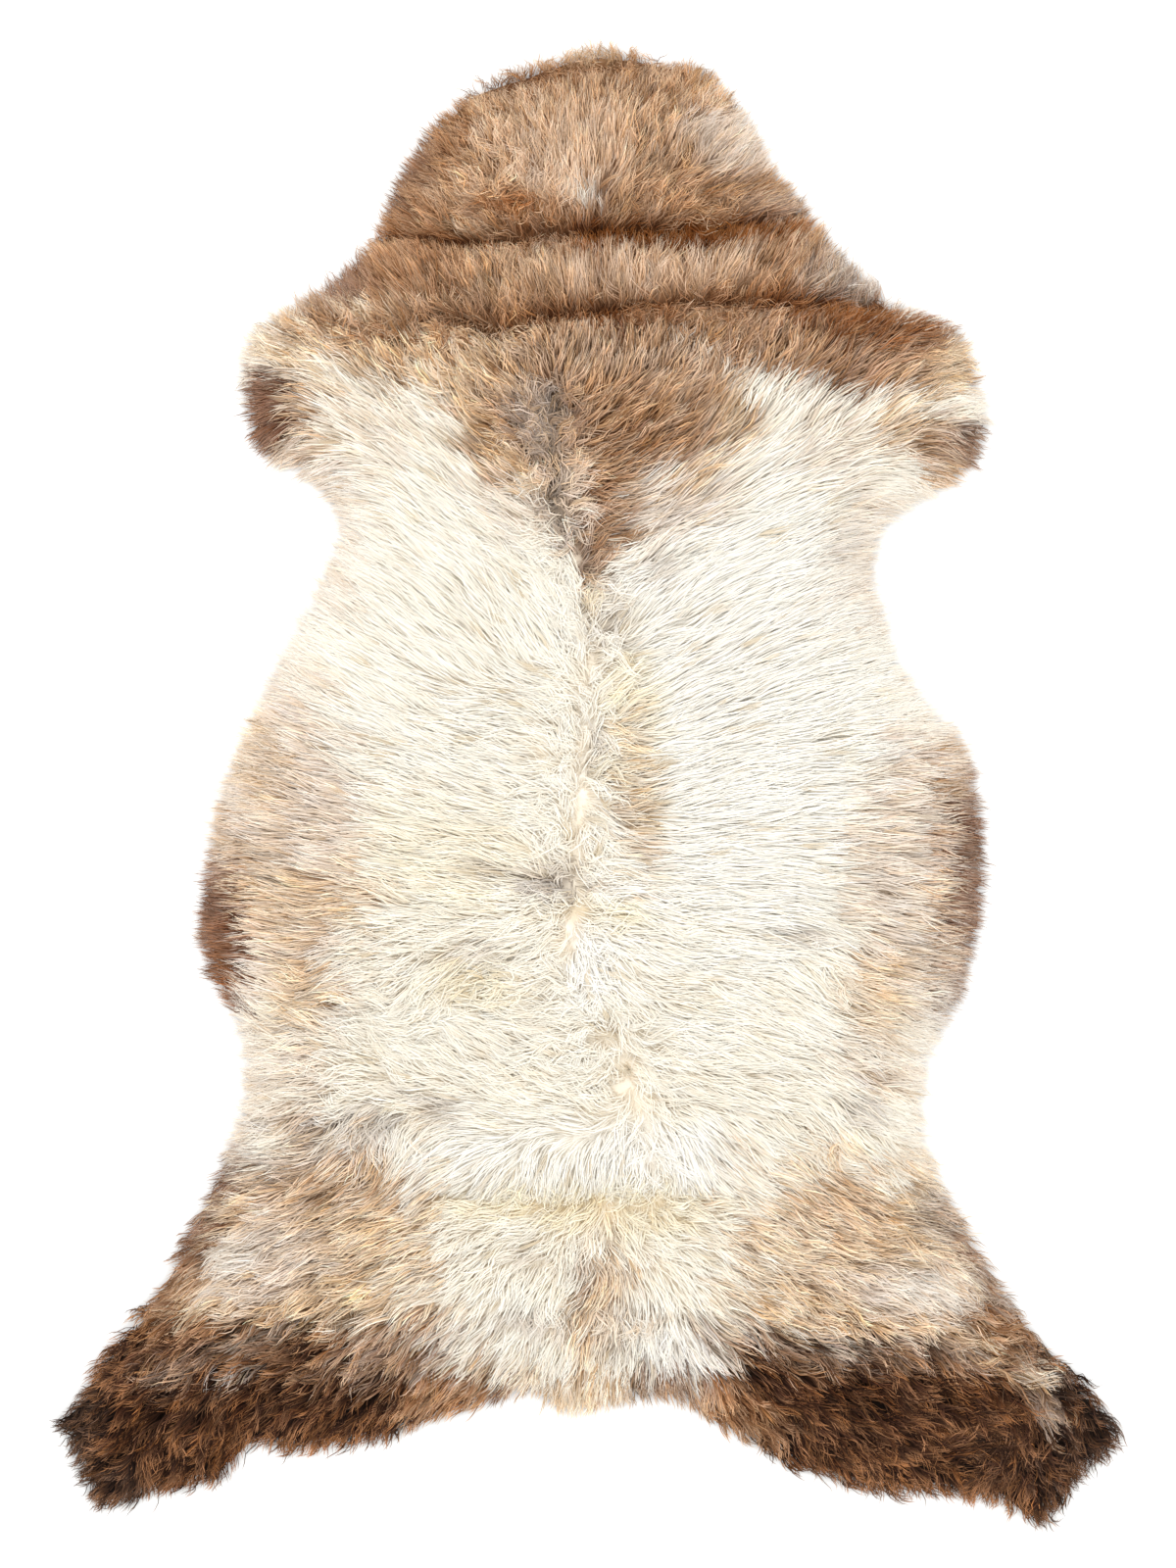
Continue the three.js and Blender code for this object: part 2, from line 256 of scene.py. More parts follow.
# Which way the wool's tips point at places on each side: x, y and degrees from +X towards +Y
LIE = {
    Side.HEAD: [
        (-99, 560, 118), (-37, 575, 100), (3, 585, 90), (60, 578, 72), (105, 560, 50),
        (-127, 520, 140), (-150, 480, 148), (-165, 450, 152), (-60, 520, 112), (0, 510, 90),
        (60, 515, 72), (120, 510, 45), (150, 480, 38), (175, 455, 33), (-110, 470, 140),
        (-70, 455, 140), (-20, 470, 100), (40, 465, 60), (90, 460, 28), (135, 455, 30),
    ],
    Side.NECK: [
        (-200, 415, 135), (-165, 400, 128), (-120, 400, 118), (-70, 395, 110), (-20, 395, 100),
        (3, 395, 91), (45, 395, 84), (90, 400, 74), (130, 400, 65), (175, 400, 55), (215, 400, 48),
    ],
    Side.LEFT: [
        (-230, 385, 140), (-262, 360, 165), (-275, 320, 185), (-255, 275, 215), (-215, 245, 200),
        (-195, 370, 132), (-150, 350, 125), (-110, 345, 122), (-60, 350, 122), (-20, 345, 105),
        (-100, 320, 145), (-60, 310, 136), (-40, 325, 112), (-110, 290, 142), (-150, 300, 140),
        (-200, 300, 150), (-110, 250, 140), (-60, 270, 142), (-35, 262, 152), (-45, 220, 160),
        (-30, 185, 155), (-68, 185, 145), (-14, 158, 138), (-68, 148, 125), (-49, 152, 138),
        (-33, 128, 113), (-45, 108, 118), (-61, 124, 128), (-77, 92, 140), (-29, 104, 105),
        (-20, 77, 132), (-29, 73, 172), (-53, 67, 180), (-77, 59, 178), (-22, 40, 150),
        (-24, 0, 168), (-18, -50, 150), (-42, -35, 160), (-33, -82, 176), (-29, -118, 200),
        (-27, -149, 188), (-24, -180, 176), (-14, -213, 170), (-8, -245, 160), (-120, 200, 145),
        (-180, 215, 160), (-120, 130, 145), (-190, 130, 150), (-230, 100, 155),
        (-156, 77, 150), (-240, 60, 158), (-60, 0, 163), (-156, 0, 160), (-235, 0, 165),
        (-285, 0, 172), (-70, -82, 165), (-156, -82, 163), (-235, -82, 170), (-300, -90, 180),
        (-120, -105, 186), (-156, -130, 182), (-70, -165, 180), (-120, -160, 222), (-132, -172, 240),
        (-190, -150, 200), (-222, -165, 205), (-240, -165, 150), (-300, -150, 176), (-262, -182, 160),
        (-170, -185, 148), (-210, -200, 160), (-90, -190, 150), (-100, -220, 140), (-150, -225, 148),
        (-60, -215, 160), (-195, -235, 172), (-245, -225, 180), (-275, -250, 182), (-120, -255, 165),
        (-60, -262, 160), (-10, -270, 150), (-75, -284, 168), (-215, -255, 180), (-180, -272, 215),
        (-200, -300, 226), (-168, -300, 262), (-150, -285, 262), (-225, -285, 214), (-235, -300, 165),
        (-262, -300, 190), (30, -298, 262), (0, -308, 268), (-40, -308, 264), (-75, -310, 238),
        (-110, -306, 208), (-130, -320, 222), (-150, -345, 195), (-235, -325, 203), (-290, -320, 205),
        (-200, -380, 198), (-270, -380, 203), (-150, -400, 206), (-330, -390, 212), (-150, -450, 222),
        (-235, -450, 210), (-310, -450, 208), (-370, -460, 212), (-415, -500, 205), (-412, -535, 206),
        (-400, -562, 222), (-384, -582, 242), (-355, -568, 248), (-306, -520, 235), (-306, -558, 245),
        (-235, -498, 215), (-235, -535, 238),
        (-170, -490, 218), (-170, -520, 238), (-120, -480, 230), (-112, -505, 245),
    ],
    Side.RIGHT: [
        (230, 385, 45), (290, 360, 20), (310, 320, 0), (310, 270, -30), (260, 235, -20),
        (190, 360, 60), (140, 350, 65), (90, 350, 70), (50, 350, 80), (20, 345, 90),
        (0, 325, 82), (35, 302, 40), (60, 300, 52), (110, 310, 58), (170, 300, 50), (230, 300, 45),
        (280, 310, 30), (5, 292, 46), (20, 268, 17), (60, 262, 26), (90, 273, 42), (120, 250, 32),
        (78, 238, 48), (190, 240, 25), (240, 225, 5), (5, 235, 6), (35, 217, 11), (8, 190, 20),
        (90, 200, 16), (40, 165, 28), (20, 165, 36), (12, 148, 60), (3, 124, 95), (19, 132, 72),
        (34, 140, 45), (34, 108, 15), (66, 156, 30), (66, 100, 18), (11, 82, 0), (34, 80, 5),
        (66, 84, 28), (7, 33, 90), (34, 25, -5), (24, 60, 20), (18, 0, 8), (6, -50, -40),
        (30, -62, -8), (8, -92, -12), (24, -110, -8), (-4, -129, -70), (2, -155, -80), (26, -150, -45),
        (52, -150, -18), (22, -180, -62), (55, -213, 4), (60, -262, -22), (160, 190, 25), (215, 180, 15),
        (100, 130, 28), (170, 130, 22), (230, 120, 15),
        (120, 77, 25), (200, 77, 18), (250, 70, 12), (60, 0, 15), (130, 0, 10), (210, 0, 5),
        (290, 0, 0), (70, -82, 2), (130, -82, 0), (210, -82, -3), (300, -82, -8),
        (90, -161, -4), (130, -161, -2), (170, -125, -10), (182, -150, -48), (198, -172, -30),
        (230, -161, -10), (290, -161, -12), (110, -241, -8), (170, -232, -16), (228, -262, -38),
        (210, -220, -18), (270, -241, -18), (58, -310, -88), (90, -306, -62), (125, -302, -38),
        (170, -300, -16), (190, -296, -75), (210, -310, -24), (285, -320, -25), (130, -345, -20),
        (150, -380, -18), (200, -380, -15), (250, -380, -18), (310, -390, -30), (150, -430, -32),
        (150, -465, -38), (210, -440, -24), (280, -450, -25), (350, -460, -36), (415, -520, -45),
        (392, -565, -44), (374, -592, -72), (362, -540, -62), (325, -520, -8), (348, -541, -85),
        (325, -564, -130),
        (303, -542, 30), (290, -570, -55), (250, -560, -50), (210, -500, -30), (270, -500, -28),
        (160, -520, -50), (112, -500, -58),
    ],
    Side.TAIL: [
        (-100, -350, 200), (-50, -348, 186), (-15, -348, 205), (10, -348, 250), (40, -350, 325),
        (70, -350, 350), (110, -350, 345), (-100, -385, 212), (-55, -372, 200), (-15, -372, 230),
        (15, -372, 300), (60, -372, 330), (105, -385, 330), (-50, -400, 250), (50, -402, 285),
        (-92, -430, 228), (-62, -442, 240), (-30, -436, 256), (8, -410, 236), (12, -450, 250),
        (35, -442, 262), (62, -440, 274), (90, -440, 302), (108, -430, 322), (-104, -480, 226),
        (-60, -485, 242), (0, -488, 262), (60, -485, 280), (92, -480, 300),
    ],
}

# How the wool feels at places: x, y, length of a lock, curl, and how far locks stray in degrees
FEEL = [
    (0, 582, 22, 0.6, 22), (-60, 572, 22, 0.4, 16), (60, 574, 22, 0.4, 16), (0, 550, 25, 0.1, 8),
    (0, 500, 27, 0.12, 8), (-50, 462, 22, 0.9, 30), (-90, 445, 28, 0.4, 12), (60, 455, 26, 0.5, 18),
    (150, 460, 32, 0.1, 7), (-140, 480, 30, 0.15, 8), (0, 400, 30, 0.1, 6), (-130, 400, 32, 0.15, 7),
    (130, 400, 32, 0.15, 7), (100, 365, 26, 0.7, 20), (-90, 350, 28, 0.6, 20), (0, 320, 30, 0.2, 9),
    (-25, 290, 26, 0.4, 18), (-200, 370, 32, 0.5, 18), (220, 370, 32, 0.5, 18),
    (-200, 300, 40, 0.2, 8), (220, 290, 40, 0.2, 8), (-120, 230, 42, 0.2, 7), (130, 220, 44, 0.15, 6),
    (-150, 80, 44, 0.2, 7), (150, 70, 46, 0.12, 6), (-150, -60, 44, 0.25, 8),
    (150, -70, 46, 0.15, 6), (-250, -80, 42, 0.2, 8), (270, -80, 42, 0.2, 8),
    (-120, -170, 40, 0.5, 14), (130, -180, 42, 0.35, 11), (0, -230, 36, 0.6, 20),
    (-150, -250, 38, 0.6, 17), (150, -250, 38, 0.4, 12), (0, -306, 36, 0.08, 5),
    (-90, -306, 36, 0.1, 6), (90, -306, 36, 0.1, 6), (55, -285, 34, 0.2, 9), (0, -350, 27, 0.6, 14),
    (-60, -355, 28, 0.6, 14), (60, -355, 28, 0.5, 12),
    (-40, -400, 26, 0.12, 7), (50, -402, 26, 0.12, 7), (0, -455, 32, 0.25, 9), (-70, -460, 32, 0.25, 8),
    (80, -460, 32, 0.25, 9), (-220, -330, 34, 0.3, 10), (230, -330, 34, 0.3, 10),
    (-240, -410, 29, 0.4, 14), (250, -410, 30, 0.4, 13), (-300, -500, 40, 0.62, 13),
    (-180, -480, 36, 0.5, 12), (180, -500, 40, 0.65, 14), (290, -510, 40, 0.8, 17),
    (380, -530, 36, 0.65, 16), (-400, -530, 32, 0.45, 14),
]

# Lines along which curly tufts lie over each other: start, end, reach and how many
TANGLES = {
    "whorl behind the neck": ((-27, 308), (-22, 268), 5, 30),
    "grey of the spine": ((-24, 276), (-20, 246), 5, 26),
    "point of the saddle": ((2, 156), (7, 124), 5, 22),
    "spine at the whorl": ((-45, 300), (-20, 200), 8, 84),
    "spine behind the shoulders": ((-18, 200), (6, 90), 8, 84),
    "spine at the back": ((6, 80), (-5, -5), 11, 72),
    "spine at the loin": ((-5, -5), (-10, -110), 12, 76),
    "fan on the loin": ((-6, -116), (14, -190), 11, 46),
    "spine at the rump": ((14, -195), (40, -250), 14, 32),
    "left of the nape": ((-86, 464), (-12, 459), 7, 60),
    "right of the nape": ((60, 449), (120, 455), 5, 24),
    "right of the lower neck fold": ((30, 374), (150, 376), 6, 48),
    "left shoulder": ((-190, 362), (-105, 352), 9, 56),
    "left loin": ((-150, -160), (-60, -172), 14, 34),
    "left whorl": ((-205, -268), (-150, -276), 8, 26),
    "right whorl": ((180, -120), (205, -150), 10, 18),
    "curl at the right edge": ((194, -284), (206, -296), 4, 10),
    "rump partings": ((-58, -424), (62, -426), 4, 26),
    "right leg swirl": ((305, -545), (345, -542), 10, 34),
}

# Colour markings, laid one over the other: tone, x, y, half width, half height, turn in degrees
# from +X towards +Y, strength and how soft the edge is
MARKINGS = [
    # cream and ivory fields
    (Tone.IVORY, 120, 60, 120, 220, 0, 0.9, 0.6),
    (Tone.IVORY, -130, 120, 90, 130, 0, 0.3, 0.6),
    (Tone.IVORY, 0, -305, 130, 34, 0, 0.9, 0.6),
    (Tone.WHITE, 60, -300, 60, 20, 0, 0.5, 0.8),
    (Tone.BEIGE, -176, 286, 60, 36, 0, 0.4, 0.9),
    (Tone.BEIGE, 202, 272, 50, 36, 0, 0.4, 0.9),
    (Tone.BEIGE, -225, 195, 40, 56, 20, 0.6, 0.8),
    (Tone.BEIGE, 232, 185, 34, 50, -10, 0.5, 0.8),
    # head
    (Tone.FAWN, 0, 482, 240, 132, 0, 1.0, 0.10),
    (Tone.PALE_FAWN, -15, 505, 64, 36, 0, 0.8, 0.6),
    (Tone.BEIGE, 120, 515, 40, 32, -30, 0.75, 0.8),
    (Tone.BROWN, -134, 500, 32, 66, -30, 0.95, 0.5),
    (Tone.RUSSET_RIM, -148, 492, 14, 46, -28, 0.75, 0.7),
    (Tone.BROWN, 0, 574, 100, 13, 3, 0.6, 0.9),
    (Tone.TAN, 6, 586, 34, 8, 0, 0.6, 0.9),
    # painted shade along the brow crease
    (Tone.CHESTNUT, -40, 561, 52, 4, 8, 0.45, 0.9),
    (Tone.BROWN, -88, 448, 74, 12, 0, 0.6, 0.8),
    (Tone.BROWN, -50, 463, 46, 13, 0, 0.85, 0.7),
    (Tone.CHESTNUT, -54, 463, 30, 6, 0, 0.6, 0.9),
    (Tone.TAN, -78, 440, 40, 7, -12, 0.6, 0.9),
    (Tone.BROWN, 120, 470, 70, 22, 4, 0.6, 0.7),
    (Tone.BEIGE, 185, 476, 22, 14, 40, 0.5, 0.8),
    (Tone.PALE_FAWN, -14, 486, 34, 20, 0, 0.7, 0.9),
    (Tone.BEIGE, 0, 476, 13, 17, 0, 0.5, 0.9),
    (Tone.CREAM, 2, 472, 8, 11, 0, 0.95, 0.8),
    # band of the neck
    (Tone.BROWN, -158, 411, 62, 32, 0, 0.95, 0.6),
    (Tone.RUSSET_RIM, -194, 404, 22, 24, -45, 0.75, 0.7),
    (Tone.PALE_FAWN, 58, 412, 90, 19, 0, 0.85, 0.7),
    (Tone.PALE_FAWN, -8, 410, 14, 16, 0, 0.6, 0.8),
    (Tone.BROWN, 170, 410, 42, 28, 0, 0.6, 0.6),
    (Tone.GREY_BROWN, 200, 405, 30, 26, -30, 0.75, 0.7),
    (Tone.GREY_BROWN, 158, 462, 36, 16, 20, 0.6, 0.7),
    # These chestnut lines lie along the neck folds: painted shade of the creases over the wool's own brown
    (Tone.CHESTNUT, 22, 440, 32, 9, 0, 0.95, 0.7),
    (Tone.CHESTNUT, 96, 440, 86, 9, 3, 0.95, 0.7),
    (Tone.CHESTNUT, -60, 431, 60, 6, -2, 0.6, 0.9),
    (Tone.CHESTNUT, 15, 374, 66, 10, 0, 0.9, 0.7),
    (Tone.CHESTNUT, -60, 364, 46, 8, 4, 0.6, 0.8),
    (Tone.BROWN, -60, 370, 60, 15, -4, 0.7, 0.6),
    # saddle
    (Tone.BEIGE, -58, 232, 40, 34, -42, 0.5, 0.9),
    (Tone.BEIGE, 92, 224, 54, 24, 32, 0.55, 0.9),
    (Tone.FAWN, 12, 330, 122, 36, 0, 0.95, 0.5),
    (Tone.FAWN, 12, 290, 114, 36, 0, 0.95, 0.5),
    (Tone.FAWN, -64, 268, 36, 26, -35, 0.8, 0.9),
    (Tone.FAWN, 26, 262, 80, 26, 10, 0.78, 0.8),
    (Tone.BEIGE, 64, 226, 30, 22, 30, 0.7, 0.9),
    (Tone.FAWN, 8, 222, 34, 34, -8, 0.85, 0.7),
    (Tone.FAWN, 10, 176, 13, 36, -6, 0.85, 0.6),
    (Tone.GREY_BROWN, 0, 348, 84, 16, 0, 0.3, 0.9),
    (Tone.BROWN, 6, 300, 72, 30, 0, 0.4, 0.9),
    (Tone.BROWN, 52, 268, 54, 20, 14, 0.52, 0.7),
    (Tone.BROWN, -82, 320, 24, 22, -20, 0.7, 0.7),
    (Tone.GREY_BROWN, -42, 294, 25, 30, 8, 0.9, 0.8),
    (Tone.GREY_BROWN, -22, 228, 12, 36, 8, 0.85, 0.7),
    (Tone.BEIGE, -3, 226, 11, 30, 6, 0.5, 0.9),
    (Tone.BROWN, 20, 232, 13, 16, 0, 0.75, 0.7),
    (Tone.BROWN, 20, 197, 22, 14, 10, 0.8, 0.7),
    (Tone.BROWN, 8, 172, 9, 14, 0, 0.8, 0.7),
    (Tone.TAN, -92, 298, 14, 18, 0, 0.75, 0.9),
    (Tone.TAN, 121, 288, 15, 24, 0, 0.75, 0.9),
    (Tone.TAN, 98, 252, 26, 12, 35, 0.6, 0.9),
    (Tone.TAN, -66, 260, 30, 12, -38, 0.6, 0.9),
    (Tone.GREY, 63, 168, 18, 13, 0, 0.65, 0.9),
    (Tone.YELLOW, 11, 142, 8, 16, 0, 0.7, 0.9),
    # left shoulder and foreleg
    (Tone.TAN, -160, 358, 96, 26, -4, 0.85, 0.5),
    (Tone.TAN, -128, 330, 60, 18, -10, 0.6, 0.7),
    (Tone.TAN, -148, 338, 42, 24, 0, 0.55, 0.9),
    (Tone.FAWN, -136, 346, 76, 18, 0, 0.4, 0.9),
    (Tone.BROWN, -145, 366, 66, 13, 3, 0.85, 0.6),
    (Tone.TAN, -240, 368, 9, 14, 0, 0.7, 0.8),
    (Tone.TAN, -256, 350, 26, 14, 0, 0.35, 0.9),
    (Tone.BROWN, -212, 378, 30, 13, -40, 0.8, 0.6),
    (Tone.BROWN, -238, 362, 14, 13, 0, 0.6, 0.7),
    (Tone.TAN, -232, 330, 24, 30, 0, 0.5, 0.8),
    (Tone.FAWN, -246, 282, 26, 34, -14, 0.75, 0.6),
    (Tone.RUSSET_RIM, -264, 288, 20, 44, -14, 1.0, 0.5),
    (Tone.BEIGE, -226, 236, 34, 20, -20, 0.8, 0.8),
    # right shoulder and foreleg
    (Tone.BROWN, 202, 354, 124, 38, -8, 0.95, 0.35),
    (Tone.FAWN, 130, 352, 60, 24, -14, 0.5, 0.7),
    (Tone.CHESTNUT, 220, 372, 84, 15, -10, 0.7, 0.7),
    (Tone.TAN, 298, 332, 20, 18, -50, 0.8, 0.7),
    (Tone.TAN, 253, 284, 18, 20, 0, 0.75, 0.7),
    (Tone.TAN, 272, 318, 22, 12, -30, 0.5, 0.8),
    (Tone.FAWN, 292, 268, 22, 32, 18, 0.85, 0.6),
    (Tone.RUSSET_RIM, 312, 268, 18, 26, 20, 0.85, 0.7),
    # back
    (Tone.YELLOW, 40, 40, 22, 70, 4, 0.5, 0.8),
    (Tone.TAN, 48, -20, 17, 66, 4, 0.5, 0.8),
    (Tone.GREY, 20, 130, 18, 22, 0, 0.5, 0.8),
    (Tone.GREY, -32, -80, 24, 13, 4, 0.95, 0.7),
    (Tone.GREY_BROWN, -28, -90, 12, 5, 0, 0.4, 0.9),
    (Tone.GREY, -82, -70, 14, 8, 20, 0.7, 0.8),
    (Tone.GREY_BROWN, 9, -86, 9, 5, -20, 0.6, 0.8),
    (Tone.YELLOW, 20, -107, 40, 9, -8, 0.6, 0.8),
    (Tone.GREY, 11, 29, 11, 13, 0, 0.7, 0.6),
    (Tone.WHITE, 6, -150, 22, 34, 0, 0.8, 0.8),
    (Tone.WHITE, -120, -160, 14, 14, 0, 0.8, 0.8),
    (Tone.GREY, -90, -145, 22, 12, 0, 0.5, 0.9),
    (Tone.YELLOW, -100, -165, 30, 20, 0, 0.5, 0.9),
    (Tone.YELLOW, -120, -60, 60, 40, 0, 0.25, 0.9),
    # flanks
    (Tone.BEIGE, -248, -50, 62, 140, 4, 0.95, 0.6),
    (Tone.TAN, -232, -95, 50, 30, 0, 0.6, 0.8),
    (Tone.TAN, -230, -165, 26, 30, 14, 0.75, 0.8),
    (Tone.TAN, -235, -210, 26, 24, 0, 0.4, 0.8),
    (Tone.TAN, -262, 20, 22, 50, 16, 0.4, 0.8),
    (Tone.FAWN, -286, -110, 17, 64, 4, 0.6, 0.8),
    (Tone.RUSSET_RIM, -297, -126, 19, 68, 6, 1.0, 0.5),
    (Tone.CHESTNUT, -289, -146, 9, 26, 10, 0.5, 0.8),
    (Tone.BEIGE, 276, -72, 56, 120, 0, 0.8, 0.6),
    (Tone.FAWN, 300, -66, 20, 84, 0, 0.6, 0.7),
    (Tone.RUSSET_RIM, 312, -76, 15, 80, 0, 0.9, 0.6),
    (Tone.RUSSET_RIM, 300, -172, 12, 24, -14, 0.7, 0.8),
    (Tone.TAN, 238, -172, 26, 40, 10, 0.65, 0.9),
    (Tone.TAN, 244, -246, 18, 12, 0, 0.6, 0.9),
    (Tone.BEIGE, 232, -225, 30, 30, 0, 0.4, 0.9),
    (Tone.GREY, 176, -125, 22, 8, 0, 0.6, 0.9),
    (Tone.GREY, 228, -268, 18, 14, -30, 0.6, 0.9),
    (Tone.BROWN, -226, -280, 14, 10, 0, 0.7, 0.8),
    (Tone.BEIGE, -250, -250, 44, 40, 0, 0.5, 0.8),
    (Tone.GREY, -190, -290, 30, 26, 20, 0.8, 0.8),
    (Tone.GREY_BROWN, -232, -296, 26, 9, 12, 0.6, 0.9),
    (Tone.GREY, -120, -262, 26, 12, -20, 0.5, 0.9),
    # rump and haunches
    (Tone.YELLOW, -40, -340, 60, 12, 0, 0.55, 0.9),
    (Tone.YELLOW, 40, -348, 60, 18, 0, 0.5, 0.9),
    (Tone.BEIGE, -235, -338, 80, 40, 20, 0.7, 0.8),
    (Tone.TAN, -252, -388, 116, 78, 20, 0.85, 0.6),
    (Tone.TAN, -300, -430, 100, 56, 40, 0.8, 0.6),
    (Tone.FAWN, -226, -330, 60, 22, 10, 0.5, 0.9),
    (Tone.GREY_BROWN, -262, -314, 40, 16, 14, 0.5, 0.9),
    (Tone.BEIGE, -262, -386, 56, 36, 20, 0.9, 0.8),
    (Tone.IVORY, -284, -384, 22, 12, 20, 0.5, 0.9),
    (Tone.RUSSET_RIM, -338, -384, 96, 24, 60, 0.95, 0.7),
    (Tone.UMBER, -350, -410, 50, 10, 60, 0.5, 0.9),
    (Tone.TAN, 228, -388, 102, 74, -20, 0.8, 0.7),
    (Tone.TAN, 290, -430, 90, 46, -35, 0.8, 0.6),
    (Tone.FAWN, 217, -350, 36, 26, 0, 0.45, 0.9),
    (Tone.GREY_BROWN, 288, -346, 20, 30, 0, 0.7, 0.8),
    (Tone.RUSSET_RIM, 328, -405, 58, 12, -58, 0.75, 0.8),
    (Tone.BEIGE, 268, -414, 56, 26, -10, 0.95, 0.9),
    (Tone.IVORY, 276, -412, 26, 12, -10, 0.5, 0.9),
    (Tone.TAN, -162, -406, 44, 36, 0, 0.5, 0.9),
    (Tone.IVORY, -66, -432, 34, 30, 0, 0.5, 0.9),
    (Tone.BROWN, -138, -440, 42, 9, 0, 0.4, 0.9),
    (Tone.BROWN, 153, -448, 46, 14, -4, 0.5, 0.8),
    (Tone.TAN, 188, -430, 58, 16, -8, 0.5, 0.9),
    (Tone.FAWN, 248, -446, 78, 11, -6, 0.4, 0.9),
    (Tone.TAN, -182, -429, 60, 15, 2, 0.5, 0.9),
    (Tone.FAWN, -268, -440, 66, 11, 4, 0.4, 0.9),
    # hind legs
    (Tone.BROWN, -278, -500, 164, 44, 2, 1.0, 0.5),
    (Tone.BROWN, 264, -502, 158, 44, -4, 1.0, 0.5),
    (Tone.BROWN, -258, -462, 134, 26, -3, 0.95, 0.7),
    (Tone.BROWN, -160, -466, 42, 24, 0, 0.7, 0.8),
    (Tone.BROWN, 250, -474, 138, 24, -4, 0.9, 0.7),
    (Tone.GREY_BROWN, -184, -474, 60, 20, 0, 0.6, 0.9),
    (Tone.GREY_BROWN, 238, -460, 96, 15, -4, 0.75, 0.9),
    (Tone.UMBER, -322, -468, 112, 24, 4, 0.75, 1.0),
    (Tone.BROWN, 345, -451, 46, 15, -35, 0.85, 0.8),
    (Tone.UMBER, 300, -484, 104, 18, -8, 0.6, 1.0),
    (Tone.UMBER, -284, -534, 184, 60, 4, 1.0, 0.5),
    (Tone.UMBER, -385, -490, 56, 54, 40, 1.0, 0.5),
    (Tone.UMBER, -372, -442, 46, 16, 50, 0.8, 0.8),
    (Tone.BROWN, -112, -500, 42, 18, 0, 0.85, 0.6),
    (Tone.GREY, -276, -450, 30, 6, 10, 0.4, 0.9),
    (Tone.GREY, -276, -478, 16, 5, 20, 0.5, 0.9),
    (Tone.GREY_BROWN, -306, -462, 48, 9, 12, 0.3, 0.9),
    (Tone.GREY_BROWN, -339, -478, 16, 9, 0, 0.4, 0.9),
    (Tone.UMBER, 264, -534, 198, 62, -9, 1.0, 0.5),
    (Tone.UMBER, 372, -548, 70, 54, -20, 1.0, 0.4),
    (Tone.UMBER, 388, -486, 46, 34, -45, 0.9, 0.5),
    (Tone.BROWN, 128, -512, 38, 20, -35, 0.8, 0.7),
    (Tone.GREY, 206, -456, 20, 6, -20, 0.4, 0.9),
    (Tone.UMBER, -370, -556, 70, 50, 8, 1.0, 0.5),
    (Tone.SOOT, -420, -528, 30, 48, 10, 1.0, 0.9),
    (Tone.SOOT, -388, -574, 42, 26, 0, 0.75, 0.9),
    (Tone.SOOT, -352, -405, 44, 8, 60, 0.5, 0.9),
    (Tone.BROWN, -335, -416, 42, 13, 60, 0.6, 0.9),
    (Tone.UMBER, -332, -454, 42, 15, 10, 0.5, 1.0),
    (Tone.SOOT, -409, -503, 30, 13, 60, 0.8, 0.8),
    (Tone.SOOT, 420, -536, 28, 36, -20, 0.8, 0.9),
    (Tone.SOOT, 330, -548, 34, 20, 0, 0.5, 0.9),
    (Tone.SOOT, 395, -580, 34, 26, 0, 0.7, 0.9),
    (Tone.TAN, 360, -480, 18, 12, -10, 0.6, 0.9),
    (Tone.GREY, 366, -474, 10, 8, 0, 0.5, 0.9),
    (Tone.SOOT, 392, -490, 13, 16, -20, 0.9, 0.8),
    (Tone.GREY_BROWN, 374, -510, 12, 18, 16, 0.7, 0.8),
    (Tone.GREY, 372, -514, 5, 8, 16, 0.25, 0.9),
    # tail
    (Tone.TAN, 10, -430, 22, 52, -14, 0.7, 0.9),
    (Tone.BROWN, -2, -404, 7, 18, -10, 0.5, 0.9),
    (Tone.GREY, 20, -450, 14, 26, -14, 0.5, 0.9),
    (Tone.WHITE, 78, -460, 30, 30, 0, 0.6, 0.9),
    (Tone.GREY_BROWN, 96, -448, 6, 26, 36, 0.7, 0.9),
    (Tone.TAN, -66, -482, 36, 12, 0, 0.4, 0.9),
    (Tone.BROWN, -82, -500, 42, 17, -6, 0.95, 0.7),
    (Tone.TAN, 3, -500, 40, 16, 0, 0.8, 0.8),
    (Tone.BROWN, 16, -505, 10, 8, 0, 0.7, 0.8),
    (Tone.BROWN, 84, -500, 36, 18, -20, 0.8, 0.7),
]


def linear(rgb: tuple[int, int, int]) -> np.ndarray:
    """Turns an sRGB colour of 0 to 255 into linear light of 0 to 1."""
    share = np.array(rgb, float) / 255
    return np.where(share <= 0.04045, share / 12.92, ((share + 0.055) / 1.055) ** 2.4)


def smooth(value: np.ndarray) -> np.ndarray:
    """Eases a share from 0 to 1, and holds it there outside."""
    share = np.clip(value, 0, 1)
    return share * share * (3 - 2 * share)


def blend(start: np.ndarray, end: np.ndarray, share: np.ndarray) -> np.ndarray:
    """Mixes two arrays by a share of 0 to 1."""
    return start + (end - start) * share


def read_cells(table: np.ndarray, low: np.ndarray, share: np.ndarray) -> np.ndarray:
    """Reads a table of cells between its cells.

    Args:
        table: The cells, by column and row.
        low: The lower cell at each place, as rows of column and row.
        share: How far each place is on the way to the next cells.

    Returns:
        One number for each place.
    """
    i, j = low.T
    under = blend(table[i, j], table[i + 1, j], share[:, 0])
    over = blend(table[i, j + 1], table[i + 1, j + 1], share[:, 0])
    return blend(under, over, share[:, 1])


